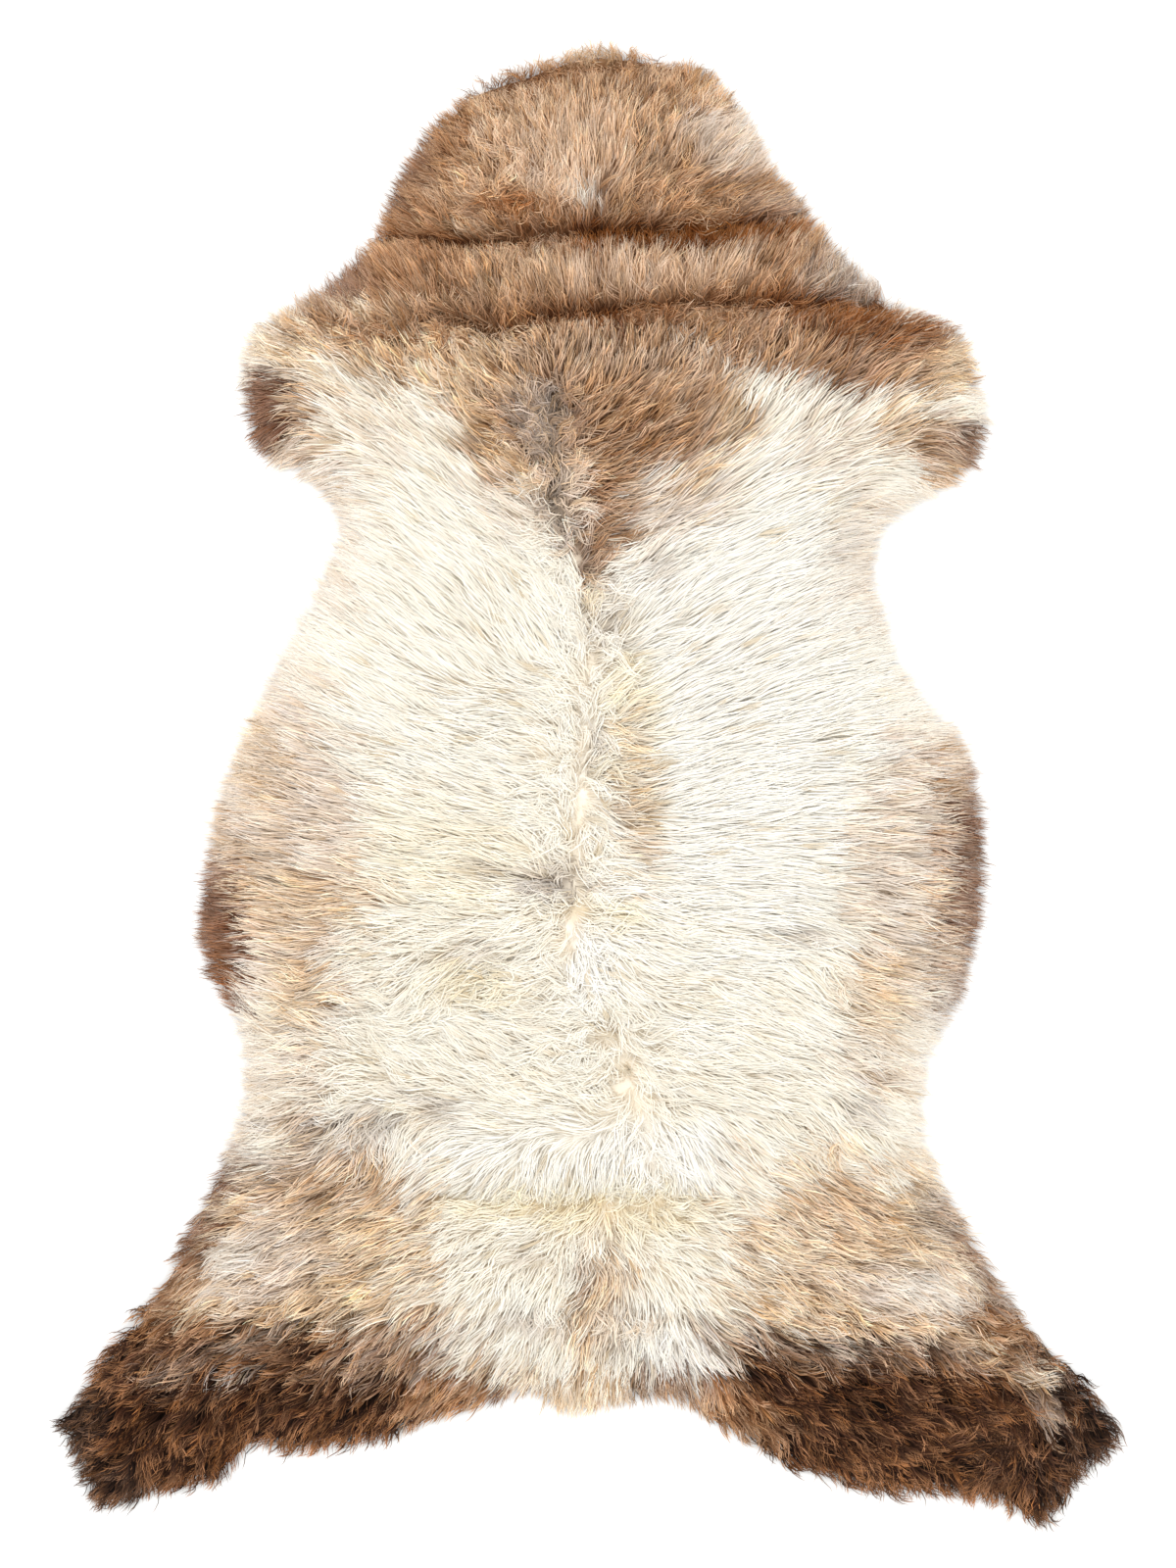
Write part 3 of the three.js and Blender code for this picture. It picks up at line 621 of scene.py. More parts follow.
def wander(places: np.ndarray, pitch: float, pattern: int) -> np.ndarray:
    """Gives soft random numbers from -1 to 1 that change over a pitch.

    Args:
        places: Points as rows of x and y.
        pitch: The distance over which the number changes.
        pattern: Which of the patterns to read.

    Returns:
        One number for each place.
    """
    table = np.random.default_rng(int(pattern)).uniform(-1, 1, (NOISE_SPAN, NOISE_SPAN))
    at = places / pitch + NOISE_SHIFT
    low = np.floor(at).astype(int)
    return read_cells(table, low % (NOISE_SPAN - 1), smooth(at - low))


def line_distance(places: np.ndarray, line: np.ndarray, closed: bool) -> np.ndarray:
    """Measures how far places are from a line of points.

    Args:
        places: Points as rows of x and y.
        line: The line's points in order.
        closed: Whether the last point joins the first.

    Returns:
        One distance for each place.
    """
    ends = np.roll(line, -1, axis=0) if closed else line[1:]
    least = np.full(len(places), np.inf)
    for start, end in zip(line, ends):
        run = end - start
        share = np.clip((places - start) @ run / (run @ run), 0, 1)
        least = np.minimum(least, np.linalg.norm(places - start - share[:, None] * run, axis=1))
    return least


def lies_inside(places: np.ndarray, border: np.ndarray) -> np.ndarray:
    """Tells which places lie inside a closed border.

    Args:
        places: Points as rows of x and y.
        border: The border's points in order.

    Returns:
        True or False for each place.
    """
    x, y = places.T
    inside = np.zeros(len(places), bool)
    for (ax, ay), (bx, by) in zip(border, np.roll(border, -1, axis=0)):
        if ay != by:
            inside ^= ((ay > y) != (by > y)) & (x < (bx - ax) * (y - ay) / (by - ay) + ax)
    return inside


def even_grid(across: np.ndarray, up: np.ndarray, pitch: float) -> np.ndarray:
    """Sets out points in even triangles: every other row is shifted by half a pitch.

    Args:
        across: Where the points of a row stand.
        up: Where the rows stand.
        pitch: The distance between the points of a row.

    Returns:
        The points as rows of x and y.
    """
    grid = np.stack(np.meshgrid(across, up), -1)
    grid[1::2, :, 0] += pitch / 2
    return grid.reshape(-1, 2)


def round_curve(corners: np.ndarray, steps: int) -> np.ndarray:
    """Rounds a closed line of corners with a centripetal Catmull-Rom curve.

    Args:
        corners: The points that the curve passes through.
        steps: How many points it gets between two corners.

    Returns:
        The curve's points in order.
    """
    before, after = np.roll(corners, 1, axis=0), np.roll(corners, -1, axis=0)
    beyond = np.roll(corners, -2, axis=0)
    first, middle, last = (
        np.sqrt(np.linalg.norm(b - a, axis=1))[:, None]
        for a, b in ((before, corners), (corners, after), (after, beyond))
    )
    leave = (corners - before) / first - (after - before) / (first + middle)
    leave = (after - corners) + middle * leave
    reach = (beyond - after) / last - (beyond - corners) / (middle + last)
    reach = (after - corners) + middle * reach
    t = (np.arange(steps) / steps)[:, None, None]
    curve = (
        (2 * t**3 - 3 * t**2 + 1) * corners
        + (t**3 - 2 * t**2 + t) * leave
        + (3 * t**2 - 2 * t**3) * after
        + (t**3 - t**2) * reach
    )
    return curve.transpose(1, 0, 2).reshape(-1, 2)


@dataclass
class Pelt:
    """The rug's outline and heights in millimetres, and the way its wool lies."""

    back_height: float = 37.0
    leg_height: float = 30.0
    tip_height: float = 3.0
    rim_run: float = 64.0
    rim_round: float = 0.8
    leg_start: float = -400.0
    leg_run: float = 110.0
    tuft_pitch: float = 23.0
    tuft_rise: float = 4.2
    broad_pitch: float = 60.0
    broad_rise: float = 3.0
    curve_steps: int = 6
    cell: float = 3.0
    margin: float = 30.0
    seam: float = 7.0
    seam_fine: tuple[float, float] = (3.0, 9.0)
    seam_broad: tuple[float, float] = (5.0, 24.0)
    tail_half: float = 128.0
    tail_run: float = 30.0
    least_share: float = 0.001
    lie_reach: float = 16.0
    feel_reach: float = 14.0
    nearness: float = 1.7
    tangle_for_full_curl: float = 60.0
    inset_kept: float = 0.86
    outline: np.ndarray = field(init=False)
    middle: np.ndarray = field(init=False)

    def __post_init__(self) -> None:
        """Rounds the outline and measures every cell of the rug once."""
        corners = np.array([point for stretch in OUTLINE.values() for point in stretch], float)
        self.outline = round_curve(corners, self.curve_steps)
        low, high = self.outline.min(0), self.outline.max(0)
        self.middle = (low + high) / 2
        self._low = low - self.margin
        self._count = np.ceil((high - low + 2 * self.margin) / self.cell).astype(int) + 1
        steps = np.stack(np.meshgrid(*(np.arange(n) for n in self._count), indexing="ij"), -1)
        places = self._low + steps.reshape(-1, 2) * self.cell
        self._inwards = self._signed(places).reshape(self._count)
        self._heights = self._height(places).reshape(self._count)

    def _signed(self, places: np.ndarray) -> np.ndarray:
        """Distance inwards from the outline, below zero outside it."""
        away = line_distance(places, self.outline, True)
        return np.where(lies_inside(places, self.outline), away, -away)

    def _height(self, places: np.ndarray) -> np.ndarray:
        """Adds up the wool's height from the rim, the tufts, the swells and the folds.

        Args:
            places: The cells of the rug as rows of x and y.

        Returns:
            The height over the floor of each cell.
        """
        x, y = places.T
        stand = smooth(self._inwards.ravel() / self.rim_run) ** self.rim_round
        full = blend(self.back_height, self.leg_height, smooth((self.leg_start - y) / self.leg_run))
        height = blend(self.tip_height, full, stand)
        height += stand * self.tuft_rise * wander(places, self.tuft_pitch, Noise.TUFT_HEIGHT)
        height += stand * self.broad_rise * wander(places, self.broad_pitch, Noise.BROAD_HEIGHT)
        for swell in SWELLS.values():
            away = ((x - swell.x) / swell.wide) ** 2 + ((y - swell.y) / swell.high) ** 2
            height += stand * swell.rise * np.exp(-away)
        for fold in FOLDS.values():
            away = fold.away(places)
            height -= stand * fold.depth * np.exp(-away * away)
        return np.maximum(height, self.tip_height)

    def _read(self, table: np.ndarray, places: np.ndarray) -> np.ndarray:
        """Reads a table of the rug's cells at places, evenly between its cells.

        Args:
            table: One number for each cell, by column and row.
            places: Points as rows of x and y.

        Returns:
            One number for each place.
        """
        at = np.clip((places - self._low) / self.cell, 0, self._count - LAST_CELL)
        low = at.astype(int)
        return read_cells(table, low, at - low)

    def inwards(self, places: np.ndarray) -> np.ndarray:
        """Distance inwards from the wool's reach, below zero outside it."""
        return self._read(self._inwards, places)

    def height(self, places: np.ndarray) -> np.ndarray:
        """Height of the wool's top over the floor."""
        return self._read(self._heights, places)

    def inset(self, depth: float) -> np.ndarray:
        """Draws the outline inwards.

        Args:
            depth: How far inwards, in millimetres.

        Returns:
            The drawn line's points in order.
        """
        along = np.roll(self.outline, -1, axis=0) - np.roll(self.outline, 1, axis=0)
        along /= np.linalg.norm(along, axis=1)[:, None]
        drawn = self.outline + depth * np.stack([along[:, 1], -along[:, 0]], 1)
        return drawn[self.inwards(drawn) > self.inset_kept * depth]

    def _nearby(self, places: np.ndarray, rows: np.ndarray, reach: float) -> np.ndarray:
        """Weighs the rows of a table by how near they are.

        Args:
            places: Points as rows of x and y.
            rows: The table, with x and y first.
            reach: The distance within which rows count about alike.

        Returns:
            The share of each row at each place.
        """
        away = ((places[:, None] - rows[None, :, :2]) ** 2).sum(2) + reach * reach
        weight = away**-self.nearness
        return weight / weight.sum(1, keepdims=True)

    def sides(self, places: np.ndarray) -> dict[Side, np.ndarray]:
        """Tells the sides of the hide apart, with soft seams along the folds and the spine.

        Args:
            places: Points as rows of x and y.

        Returns:
            The share of each side at each place.
        """
        (fine, fine_pitch), (broad, broad_pitch) = self.seam_fine, self.seam_broad
        drift = fine * wander(places, fine_pitch, Noise.SEAM_FINE)
        drift = drift + broad * wander(places, broad_pitch, Noise.SEAM_BROAD)
        spine = FOLDS["spine"].points()
        past_spine = places[:, 0] - np.interp(-places[:, 1], -spine[:, 1], spine[:, 0])
        past_upper, past_lower, past_tail = (
            FOLDS[name].beyond(places) for name in ("upper neck", "lower neck", "over the tail")
        )
        head, above, right = (
            smooth((past + drift) / self.seam + 0.5) for past in (past_upper, past_lower, past_spine)
        )
        below = smooth(-(past_tail + drift) / self.seam + 0.5)
        below *= smooth((self.tail_half - np.abs(places[:, 0])) / self.tail_run)
        neck = above * (1 - head)
        rest = (1 - head) * (1 - above)
        return {
            Side.HEAD: head,
            Side.NECK: neck,
            Side.TAIL: rest * below,
            Side.LEFT: rest * (1 - below) * (1 - right),
            Side.RIGHT: rest * (1 - below) * right,
        }

    def lie(self, places: np.ndarray) -> np.ndarray:
        """Finds the way that the wool's tips point.

        Args:
            places: Points as rows of x and y.

        Returns:
            One unit vector for each place.
        """
        total = np.zeros_like(places)
        for side, share in self.sides(places).items():
            rows = np.array(LIE[side], float)
            turn = np.radians(rows[:, 2])
            ways = np.stack([np.cos(turn), np.sin(turn)], 1)
            near = share > self.least_share
            mean = self._nearby(places[near], rows, self.lie_reach) @ ways
            mean /= np.linalg.norm(mean, axis=1, keepdims=True) + TINY
            total[near] += share[near, None] * mean
        return total / (np.linalg.norm(total, axis=1, keepdims=True) + TINY)

    def feel(self, places: np.ndarray) -> tuple[np.ndarray, np.ndarray, np.ndarray]:
        """Finds how the wool feels.

        Args:
            places: Points as rows of x and y.

        Returns:
            The length of a lock, its curl and how far it strays in radians, for each place.
        """
        rows = np.array(FEEL, float)
        length, curl, stray = (self._nearby(places, rows, self.feel_reach) @ rows[:, 2:]).T
        for fold in FOLDS.values():
            away = fold.away(places)
            near = np.exp(-away * away)
            stray = stray + near * fold.tangle
            curl = curl + near * fold.tangle / self.tangle_for_full_curl
        return length, curl, np.radians(stray)


@dataclass
class Dye:
    """Works out the wool's colours from the markings, with painted shade at the rim and in the folds. Sizes
    in millimetres.
    """

    ground: Tone = Tone.CREAM
    # The rim's tone, blended in towards the edge, is painted shade where the wool thins over the floor
    rim: Tone = Tone.BEIGE
    rim_shade_width: float = 24.0
    rim_shade_share: float = 0.5
    ragged: float = 0.34
    ragged_broad: float = 16.0
    ragged_fine: float = 6.0
    ragged_fine_share: float = 0.7
    mingled: float = 0.85
    mottle: float = 1.5
    mottle_pitch: float = 6.5
    mottle_broad: float = 2.6
    mottle_broad_share: float = 0.8
    dark_cast: tuple[float, float, float] = (0.8, 1.0, 1.25)
    pale_cast: tuple[float, float, float] = (0.9, 0.85, 0.75)
    mottle_range: tuple[float, float] = (0.5, 1.5)
    # How wide the painted shade of a fold is, and how far it reaches into the root, body and tip
    crease_shade_width: float = 0.9
    crease_shade_parts: tuple[float, float, float] = (1.0, 0.7, 0.25)

    def tones(
        self, pelt: Pelt, places: np.ndarray, luck: np.ndarray | None = None
    ) -> tuple[np.ndarray, np.ndarray]:
        """Mixes the markings at places, laid over painted shade at the rim.

        Args:
            pelt: The rug, for its rim.
            places: Points as rows of x and y, in millimetres.
            luck: A number of 0 to 1 for each place, by which hairs of two colours mingle.

        Returns:
            Linear colours as place, part of the lock and channel, and each place's fleck.
        """
        drift = 0 if luck is None else self.mingled * (luck - 0.5)
        colour = np.tile(self.ground.parts(), (len(places), 1, 1))
        fleck = np.full(len(places), self.ground.fleck)
        # Painted shade towards the rim, under the markings
        share = self.rim_shade_share * smooth(1 - pelt.inwards(places) / self.rim_shade_width)
        colour = blend(colour, self.rim.parts(), share[:, None, None])
        for number, (tone, x, y, wide, high, turn, strength, soft) in enumerate(MARKINGS):
            cos, sin = math.cos(math.radians(turn)), math.sin(math.radians(turn))
            dx, dy = places[:, 0] - x, places[:, 1] - y
            along, across = (dx * cos + dy * sin) / wide, (dy * cos - dx * sin) / high
            ragged = wander(places, self.ragged_broad, Noise.EDGE_BROAD + number)
            fine = wander(places, self.ragged_fine, Noise.EDGE_FINE + number)
            ragged = ragged + self.ragged_fine_share * fine
            out = np.hypot(along, across) * (1 + self.ragged * soft**0.5 * ragged)
            share = strength * smooth((1 - out) / soft + 0.5)
            share = np.clip(share + 4 * share * (1 - share) * drift, 0, 1)
            colour = blend(colour, tone.parts(), share[:, None, None])
            fleck = blend(fleck, tone.fleck, share)
        broad = wander(places, self.mottle_broad * self.mottle_pitch, Noise.MOTTLE_BROAD)
        patchy = wander(places, self.mottle_pitch, Noise.MOTTLE_FINE) + self.mottle_broad_share * broad
        cast = np.where(patchy[:, None] < 0, self.dark_cast, self.pale_cast)
        shift = 1 + (self.mottle * fleck * patchy)[:, None] * cast
        return colour * np.clip(shift, *self.mottle_range)[:, None], fleck

    def paint_crease_shade(self, colour: np.ndarray, roots: np.ndarray) -> np.ndarray:
        """Paints shade into the lower part of the wool that stands in a fold.

        Args:
            colour: Linear colours as place, part of the lock and channel.
            roots: Where that wool stands, as rows of x and y.

        Returns:
            The colours with the folds' tones painted in, partly as the wool's colour and partly as painted
            shade.
        """
        depth = np.array(self.crease_shade_parts)[None, :, None]
        for fold in FOLDS.values():
            share = fold.shade * np.exp(-((fold.away(roots) / self.crease_shade_width) ** 2))
            colour = blend(colour, fold.tone.parts(), depth * share[:, None, None])
        return colour


class ShaderBench:
    """A material with its main shader, to which a finish adds its nodes."""

    def __init__(self, name: str, **inputs: float) -> None:
        """Makes the material and sets inputs of its shader.

        Args:
            name: The material's name.
            inputs: Values by the input's name, with underscores for its spaces.
        """
        self.material = bpy.data.materials.new(name)
        self.material.use_nodes = True
        self.tree = self.material.node_tree
        self.shader = self.tree.nodes["Principled BSDF"]
        for key, value in inputs.items():
            self.shader.inputs[key.replace("_", " ")].default_value = value

    def add(self, kind: str) -> bpy.types.Node:
        """Adds a node."""
        return self.tree.nodes.new(kind)

    def link(self, source: bpy.types.NodeSocket, target: bpy.types.NodeSocket) -> None:
        """Joins an output to an input."""
        self.tree.links.new(source, target)

    def noise(self, scale: float, detail: float) -> bpy.types.Node:
        """Adds a noise over the piece's own coordinates.

        Args:
            scale: How fine the noise is.
            detail: How many finer layers it has.

        Returns:
            The noise's node.
        """
        noise = self.add("ShaderNodeTexNoise")
        noise.inputs["Scale"].default_value = scale
        noise.inputs["Detail"].default_value = detail
        self.link(self.add("ShaderNodeTexCoord").outputs["Object"], noise.inputs["Vector"])
        return noise

    def relief(self, noise: bpy.types.Node, strength: float, depth: float) -> None:
        """Raises the surface by a noise.

        Args:
            noise: The noise's node.
            strength: How strongly it shows.
            depth: Its height in millimetres.
        """
        relief = self.add("ShaderNodeBump")
        relief.inputs["Strength"].default_value = strength
        relief.inputs["Distance"].default_value = depth * MM
        self.link(noise.outputs["Fac"], relief.inputs["Height"])
        self.link(relief.outputs["Normal"], self.shader.inputs["Normal"])


@dataclass(frozen=True)
class WoolFinish:
    """Dry, matt wool fibre with a faint sheen, coloured strand by strand."""

    name: str
    roughness: float = 0.75
    sheen: float = 0.02
    sheen_roughness: float = 0.5
    specular: float = 0.06
    grain_scale: float = 900.0
    grain_detail: float = 2.0
    grain: float = 0.05
    bump: float = 0.12
    bump_depth: float = 0.3

    def make(self) -> bpy.types.Material:
        """Builds the material.

        Returns:
            The material, ready for a piece.
        """
        bench = ShaderBench(
            self.name,
            Roughness=self.roughness,
            Sheen_Weight=self.sheen,
            Sheen_Roughness=self.sheen_roughness,
            Specular_IOR_Level=self.specular,
        )
        tone = bench.add("ShaderNodeAttribute")
        tone.attribute_name = TONE
        grain = bench.noise(self.grain_scale, self.grain_detail)
        spread = bench.add("ShaderNodeMapRange")
        spread.inputs["To Min"].default_value = 1 - self.grain
        spread.inputs["To Max"].default_value = 1 + self.grain
        bench.link(grain.outputs["Fac"], spread.inputs["Value"])
        shade = bench.add("ShaderNodeVectorMath")
        shade.operation = "SCALE"
        bench.link(tone.outputs["Color"], shade.inputs[0])
        bench.link(spread.outputs["Result"], shade.inputs["Scale"])
        bench.link(shade.outputs["Vector"], bench.shader.inputs["Base Color"])
        bench.relief(grain, self.bump, self.bump_depth)
        return bench.material


@dataclass(frozen=True)
class SuedeFinish:
    """The tanned flesh side of the hide: pale, matt and faintly mottled."""

    name: str = "tanned_suede"
    pale: tuple[int, int, int] = (230, 216, 192)
    dark: tuple[int, int, int] = (196, 172, 138)
    roughness: float = 0.88
    sheen: float = 0.2
    mottle_scale: float = 14.0
    mottle_detail: float = 6.0
    mottle_roughness: float = 0.65
    mottle_range: tuple[float, float] = (0.32, 0.68)
    nap_scale: float = 700.0
    nap_detail: float = 4.0
    bump: float = 0.4
    bump_depth: float = 0.4

    def make(self) -> bpy.types.Material:
        """Builds the material.

        Returns:
            The material, ready for a piece.
        """
        bench = ShaderBench(self.name, Roughness=self.roughness, Sheen_Weight=self.sheen)
        mottle = bench.noise(self.mottle_scale, self.mottle_detail)
        mottle.inputs["Roughness"].default_value = self.mottle_roughness
        ramp = bench.add("ShaderNodeValToRGB")
        stops = zip(ramp.color_ramp.elements, self.mottle_range, (self.dark, self.pale))
        for stop, position, colour in stops:
            stop.position = position
            stop.color = (*linear(colour), 1)
        bench.link(mottle.outputs["Fac"], ramp.inputs["Fac"])
        bench.link(ramp.outputs["Color"], bench.shader.inputs["Base Color"])
        bench.relief(bench.noise(self.nap_scale, self.nap_detail), self.bump, self.bump_depth)
        return bench.material


def new_piece(
    name: str, places: np.ndarray, corners: np.ndarray, counts: np.ndarray, pelt: Pelt
) -> bpy.types.Object:
    """Makes a mesh object from arrays and puts it on the frame.

    Args:
        name: The piece's name.
        places: Points in millimetres as rows of x, y and z.
        corners: The faces' point numbers, one face after the other.
        counts: How many corners each face has.
        pelt: The pelt, whose middle becomes the frame's origin.

    Returns:
        The object, riding on the rug's body in place of the plain solid.
    """
    mesh = bpy.data.meshes.new(name)
    mesh.vertices.add(len(places))
    shift = np.array([*pelt.middle, 0.0])
    mesh.vertices.foreach_set("co", ((places - shift) * MM).astype(np.float32).ravel())
    mesh.loops.add(len(corners))
    mesh.loops.foreach_set("vertex_index", corners.astype(np.int32))
    mesh.polygons.add(len(counts))
    starts = np.concatenate([[0], np.cumsum(counts)[:-1]]).astype(np.int32)
    mesh.polygons.foreach_set("loop_start", starts)
    mesh.update(calc_edges=True)
    mesh.validate()
    piece = bpy.data.objects.new(name, mesh)
    bpy.context.scene.collection.objects.link(piece)
    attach(piece, BODY)
    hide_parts(NODE)
    return piece


def paint(piece: bpy.types.Object, colours: np.ndarray) -> None:
    """Stores a colour at each of a piece's points.

    Args:
        piece: The piece to colour.
        colours: Linear colours as rows of red, green and blue.
    """
    layer = piece.data.color_attributes.new(TONE, "FLOAT_COLOR", "POINT")
    full = np.ones((len(colours), 4), np.float32)
    full[:, :3] = np.clip(colours, 0, 1)
    layer.data.foreach_set("color", full.ravel())


def filled_sheet(
    border: np.ndarray, pitch: float, clear: float = 0.6
) -> tuple[np.ndarray, np.ndarray]:
    """Fills a border with even triangles.

    Args:
        border: The border's points in order.
        pitch: The distance between the points inside.
        clear: How near to the border they may stand, in pitches.

    Returns:
        The points, the border's own first, and the triangles.
    """
    (left, low), (right, high) = border.min(0), border.max(0)
    up = np.arange(low, high, pitch * math.sqrt(3) / 2)
    inner = even_grid(np.arange(left, right, pitch), up, pitch)
    inner = inner[lies_inside(inner, border)]
    inner = inner[line_distance(inner, border, True) > clear * pitch]
    points = np.concatenate([border, inner])
    ring = range(len(border))
    edges = [(i, (i + 1) % len(border)) for i in ring]
    corners = [Vector(point) for point in points]
    found = delaunay_2d_cdt(corners, edges, [list(ring)], FILL_INSIDE, WELD)
    return np.array([tuple(p) for p in found[0]]), np.array(found[2])


def closed_slab(
    flat: np.ndarray, faces: np.ndarray, rim: int, top: np.ndarray, under: np.ndarray
) -> tuple[np.ndarray, np.ndarray, np.ndarray]:
    """Closes a sheet into a thin solid.

    Args:
        flat: The sheet's points as x and y, the border's first and in order.
        faces: The sheet's triangles.
        rim: How many points the border has.
        top: Height of the upper face at each point.
        under: Height of the lower face at each point.

    Returns:
        The points, the faces' corners and how many corners each face has.
    """
    count = len(flat)
    places = np.concatenate([np.column_stack([flat, top]), np.column_stack([flat, under])])
    a, b, c = faces.T
    edge1, edge2 = flat[b] - flat[a], flat[c] - flat[a]
    up = edge1[:, 0] * edge2[:, 1] - edge1[:, 1] * edge2[:, 0] > 0
    upper = np.where(up[:, None], faces, faces[:, ::-1])
    ring = np.arange(rim)
    ahead = (ring + 1) % rim
    walls = np.stack([ring, ahead, ahead + count, ring + count], 1)
    area = np.sum(flat[ring, 0] * flat[ahead, 1] - flat[ahead, 0] * flat[ring, 1])
    if area > 0:
        walls = walls[:, ::-1]
    corners = np.concatenate([upper.ravel(), (upper[:, ::-1] + count).ravel(), walls.ravel()])
    counts = np.concatenate([np.full(2 * len(upper), 3), np.full(len(walls), 4)])
    return places, corners, counts


@dataclass
class Hide:
    """The tanned skin that the wool grows on. Sizes in millimetres."""

    thickness: float = 2.4
    wool_past_edge: float = 20.0
    edge_step: int = 2
    pitch: float = 20.0
    buckle: float = 0.7
    buckle_pitch: float = 40.0
    finish: SuedeFinish = SuedeFinish()

    def build(self, pelt: Pelt) -> bpy.types.Object:
        """Builds the skin as a thin solid that lies on the floor.

        Args:
            pelt: The rug's outline and heights.

        Returns:
            The dressed piece.
        """
        border = pelt.inset(self.wool_past_edge)[::self.edge_step]
        flat, faces = filled_sheet(border, self.pitch)
        top = self.thickness + self.buckle * wander(flat, self.buckle_pitch, Noise.BUCKLE)
        places, corners, counts = closed_slab(flat, faces, len(border), top, np.zeros(len(flat)))
        piece = new_piece("hide", places, corners, counts, pelt)
        piece.data.shade_smooth()
        piece.data.materials.append(self.finish.make())
        return piece


@dataclass
class Underwool:
    """The dense short wool next to the skin, which closes the gaps between the locks. Its colour leans to
    the roots' tone, partly as painted shade deep in the pile.
    """

    share_of_height: float = 0.84
    wool_past_edge: float = 12.5
    start: float = 1.6
    least: float = 1.0
    pitch: float = 7.4
    rough: float = 1.2
    rough_pitch: float = 4.0
    # How far the undercoat's colour rises from the darker root tone, which stands partly for painted shade
    # deep in the pile
    body_share: tuple[float, float] = (0.06, 0.52)
    fleck: float = 0.08
    fleck_pitch: float = 5.0
    finish: WoolFinish = WoolFinish("underwool", grain=0.16, bump=0.5)

    def build(self, pelt: Pelt, dye: Dye) -> bpy.types.Object:
        """Builds the undercoat as one soft lumpy layer.

        Args:
            pelt: The rug's outline and heights.
            dye: The wool's colours.

        Returns:
            The dressed piece.
        """
        border = pelt.inset(self.wool_past_edge)
        flat, faces = filled_sheet(border, self.pitch)
        under = np.full(len(flat), self.start)
        rough = self.rough * wander(flat, self.rough_pitch, Noise.UNDERWOOL_HEIGHT)
        top = np.maximum(self.height(pelt, flat) + rough, under + self.least)
        places, corners, counts = closed_slab(flat, faces, len(border), top, under)
        piece = new_piece("underwool", places, corners, counts, pelt)
        # The undercoat gets the folds' painted shade, and leans to the darker root tone, partly as painted
        # shade deep in the pile
        colour = dye.paint_crease_shade(dye.tones(pelt, flat)[0], flat)
        least, more = self.body_share
        share = least + more * colour[:, 1].mean(1, keepdims=True)
        fleck = 1 + self.fleck * wander(flat, self.fleck_pitch, Noise.UNDERWOOL_TONE)
        mixed = blend(colour[:, 0], colour[:, 1], share) * fleck[:, None]
        paint(piece, np.concatenate([mixed, mixed]))
        piece.data.shade_smooth()
        piece.data.materials.append(self.finish.make())
        return piece

    def height(self, pelt: Pelt, places: np.ndarray) -> np.ndarray:
        """Height of the undercoat's top over the floor at places."""
        return self.start + self.share_of_height * (pelt.height(places) - self.start)


@dataclass(frozen=True)
class LockHabit:
    """How locks differ from each other. The play is each lock's own, the drift its neighbours' too."""

    scatter: float = 0.42
    length_play: float = 0.12
    length_drift: float = 0.14
    length_pitch: float = 17.0
    rim_length: float = 0.72
    rim_start: float = 8.0
    rim_run: float = 26.0
    turn_play: float = 0.7
    turn_drift: float = 1.1
    turn_pitch: float = 12.0
    bend_play: float = 0.5
    bend_drift: float = 1.1
    bend_pitch: float = 15.0


@dataclass(frozen=True)
class StrandHabit:
    """How the strands of a lock gather, wave, end and rise. Sizes in millimetres."""

    reach: tuple[float, float] = (0.70, 1.06)
    # The dark locks of painted shadow between tufts are drawn narrow
    shadow_lock_spread: float = 0.3
    curl_gather: float = 0.45
    most_gather: float = 0.9
    loose_gather: float = 0.2
    loose_ends: float = 4.0
    gathered_at: float = 0.8
    swing: float = 5.2
    swing_ease: float = 0.7
    waves: tuple[float, float] = (0.75, 1.2)
    wave_play: float = 0.06
    wave_pitch: float = 24.0
    lock_phase: float = 0.5
    strand_phase: float = 0.3
    fold_margin: float = 12.0
    fold_range: tuple[float, float] = (0.76, 1.2)
    fold_least: float = 0.28
    rim_play: float = 0.6
    rim_least: float = 0.22
    rim_halvings: int = 7
    sink: float = 1.5
    lock_ride: float = 0.045
    strand_ride: float = 0.04
    # The dark locks of painted shadow between tufts ride a little higher
    shadow_lock_ride: float = 0.05
    crest: float = 0.55
    past_crest: float = 0.45
    droop: float = 0.16
    lowest: float = 0.7


@dataclass(frozen=True)
class StrandSection:
    """How wide a strand's ribbon is along its length, and how round its normals make it look."""

    widths: tuple[float, float] = (0.7, 1.25)
    root_width: float = 0.75
    root_run: float = 0.3
    taper: float = 0.5
    taper_ease: float = 2.2
    roll: float = 0.25
    roundness: float = 0.38


@dataclass(frozen=True)
class StrandTint:
    """How strands differ in colour. The gap shadow's numbers are for the dark locks that are painted shadow
    between two tufts.
    """

    luck: tuple[float, float] = (0.55, 0.45)
    astray: float = 3.0
    bright_range: tuple[float, float] = (0.45, 1.6)
    cast_play: tuple[float, float] = (0.5, 0.8)
    cast_range: tuple[float, float] = (-0.2, 0.7)
    cast: tuple[float, float, float] = (0.18, -0.03, -0.42)
    gap: tuple[float, float, float] = (0.30, 0.38, 0.50)
    gap_shadow_least: float = 0.3
    gap_shadow_patches: tuple[float, float] = (0.4, 1.2)
    gap_shadow_pitch: float = 30.0


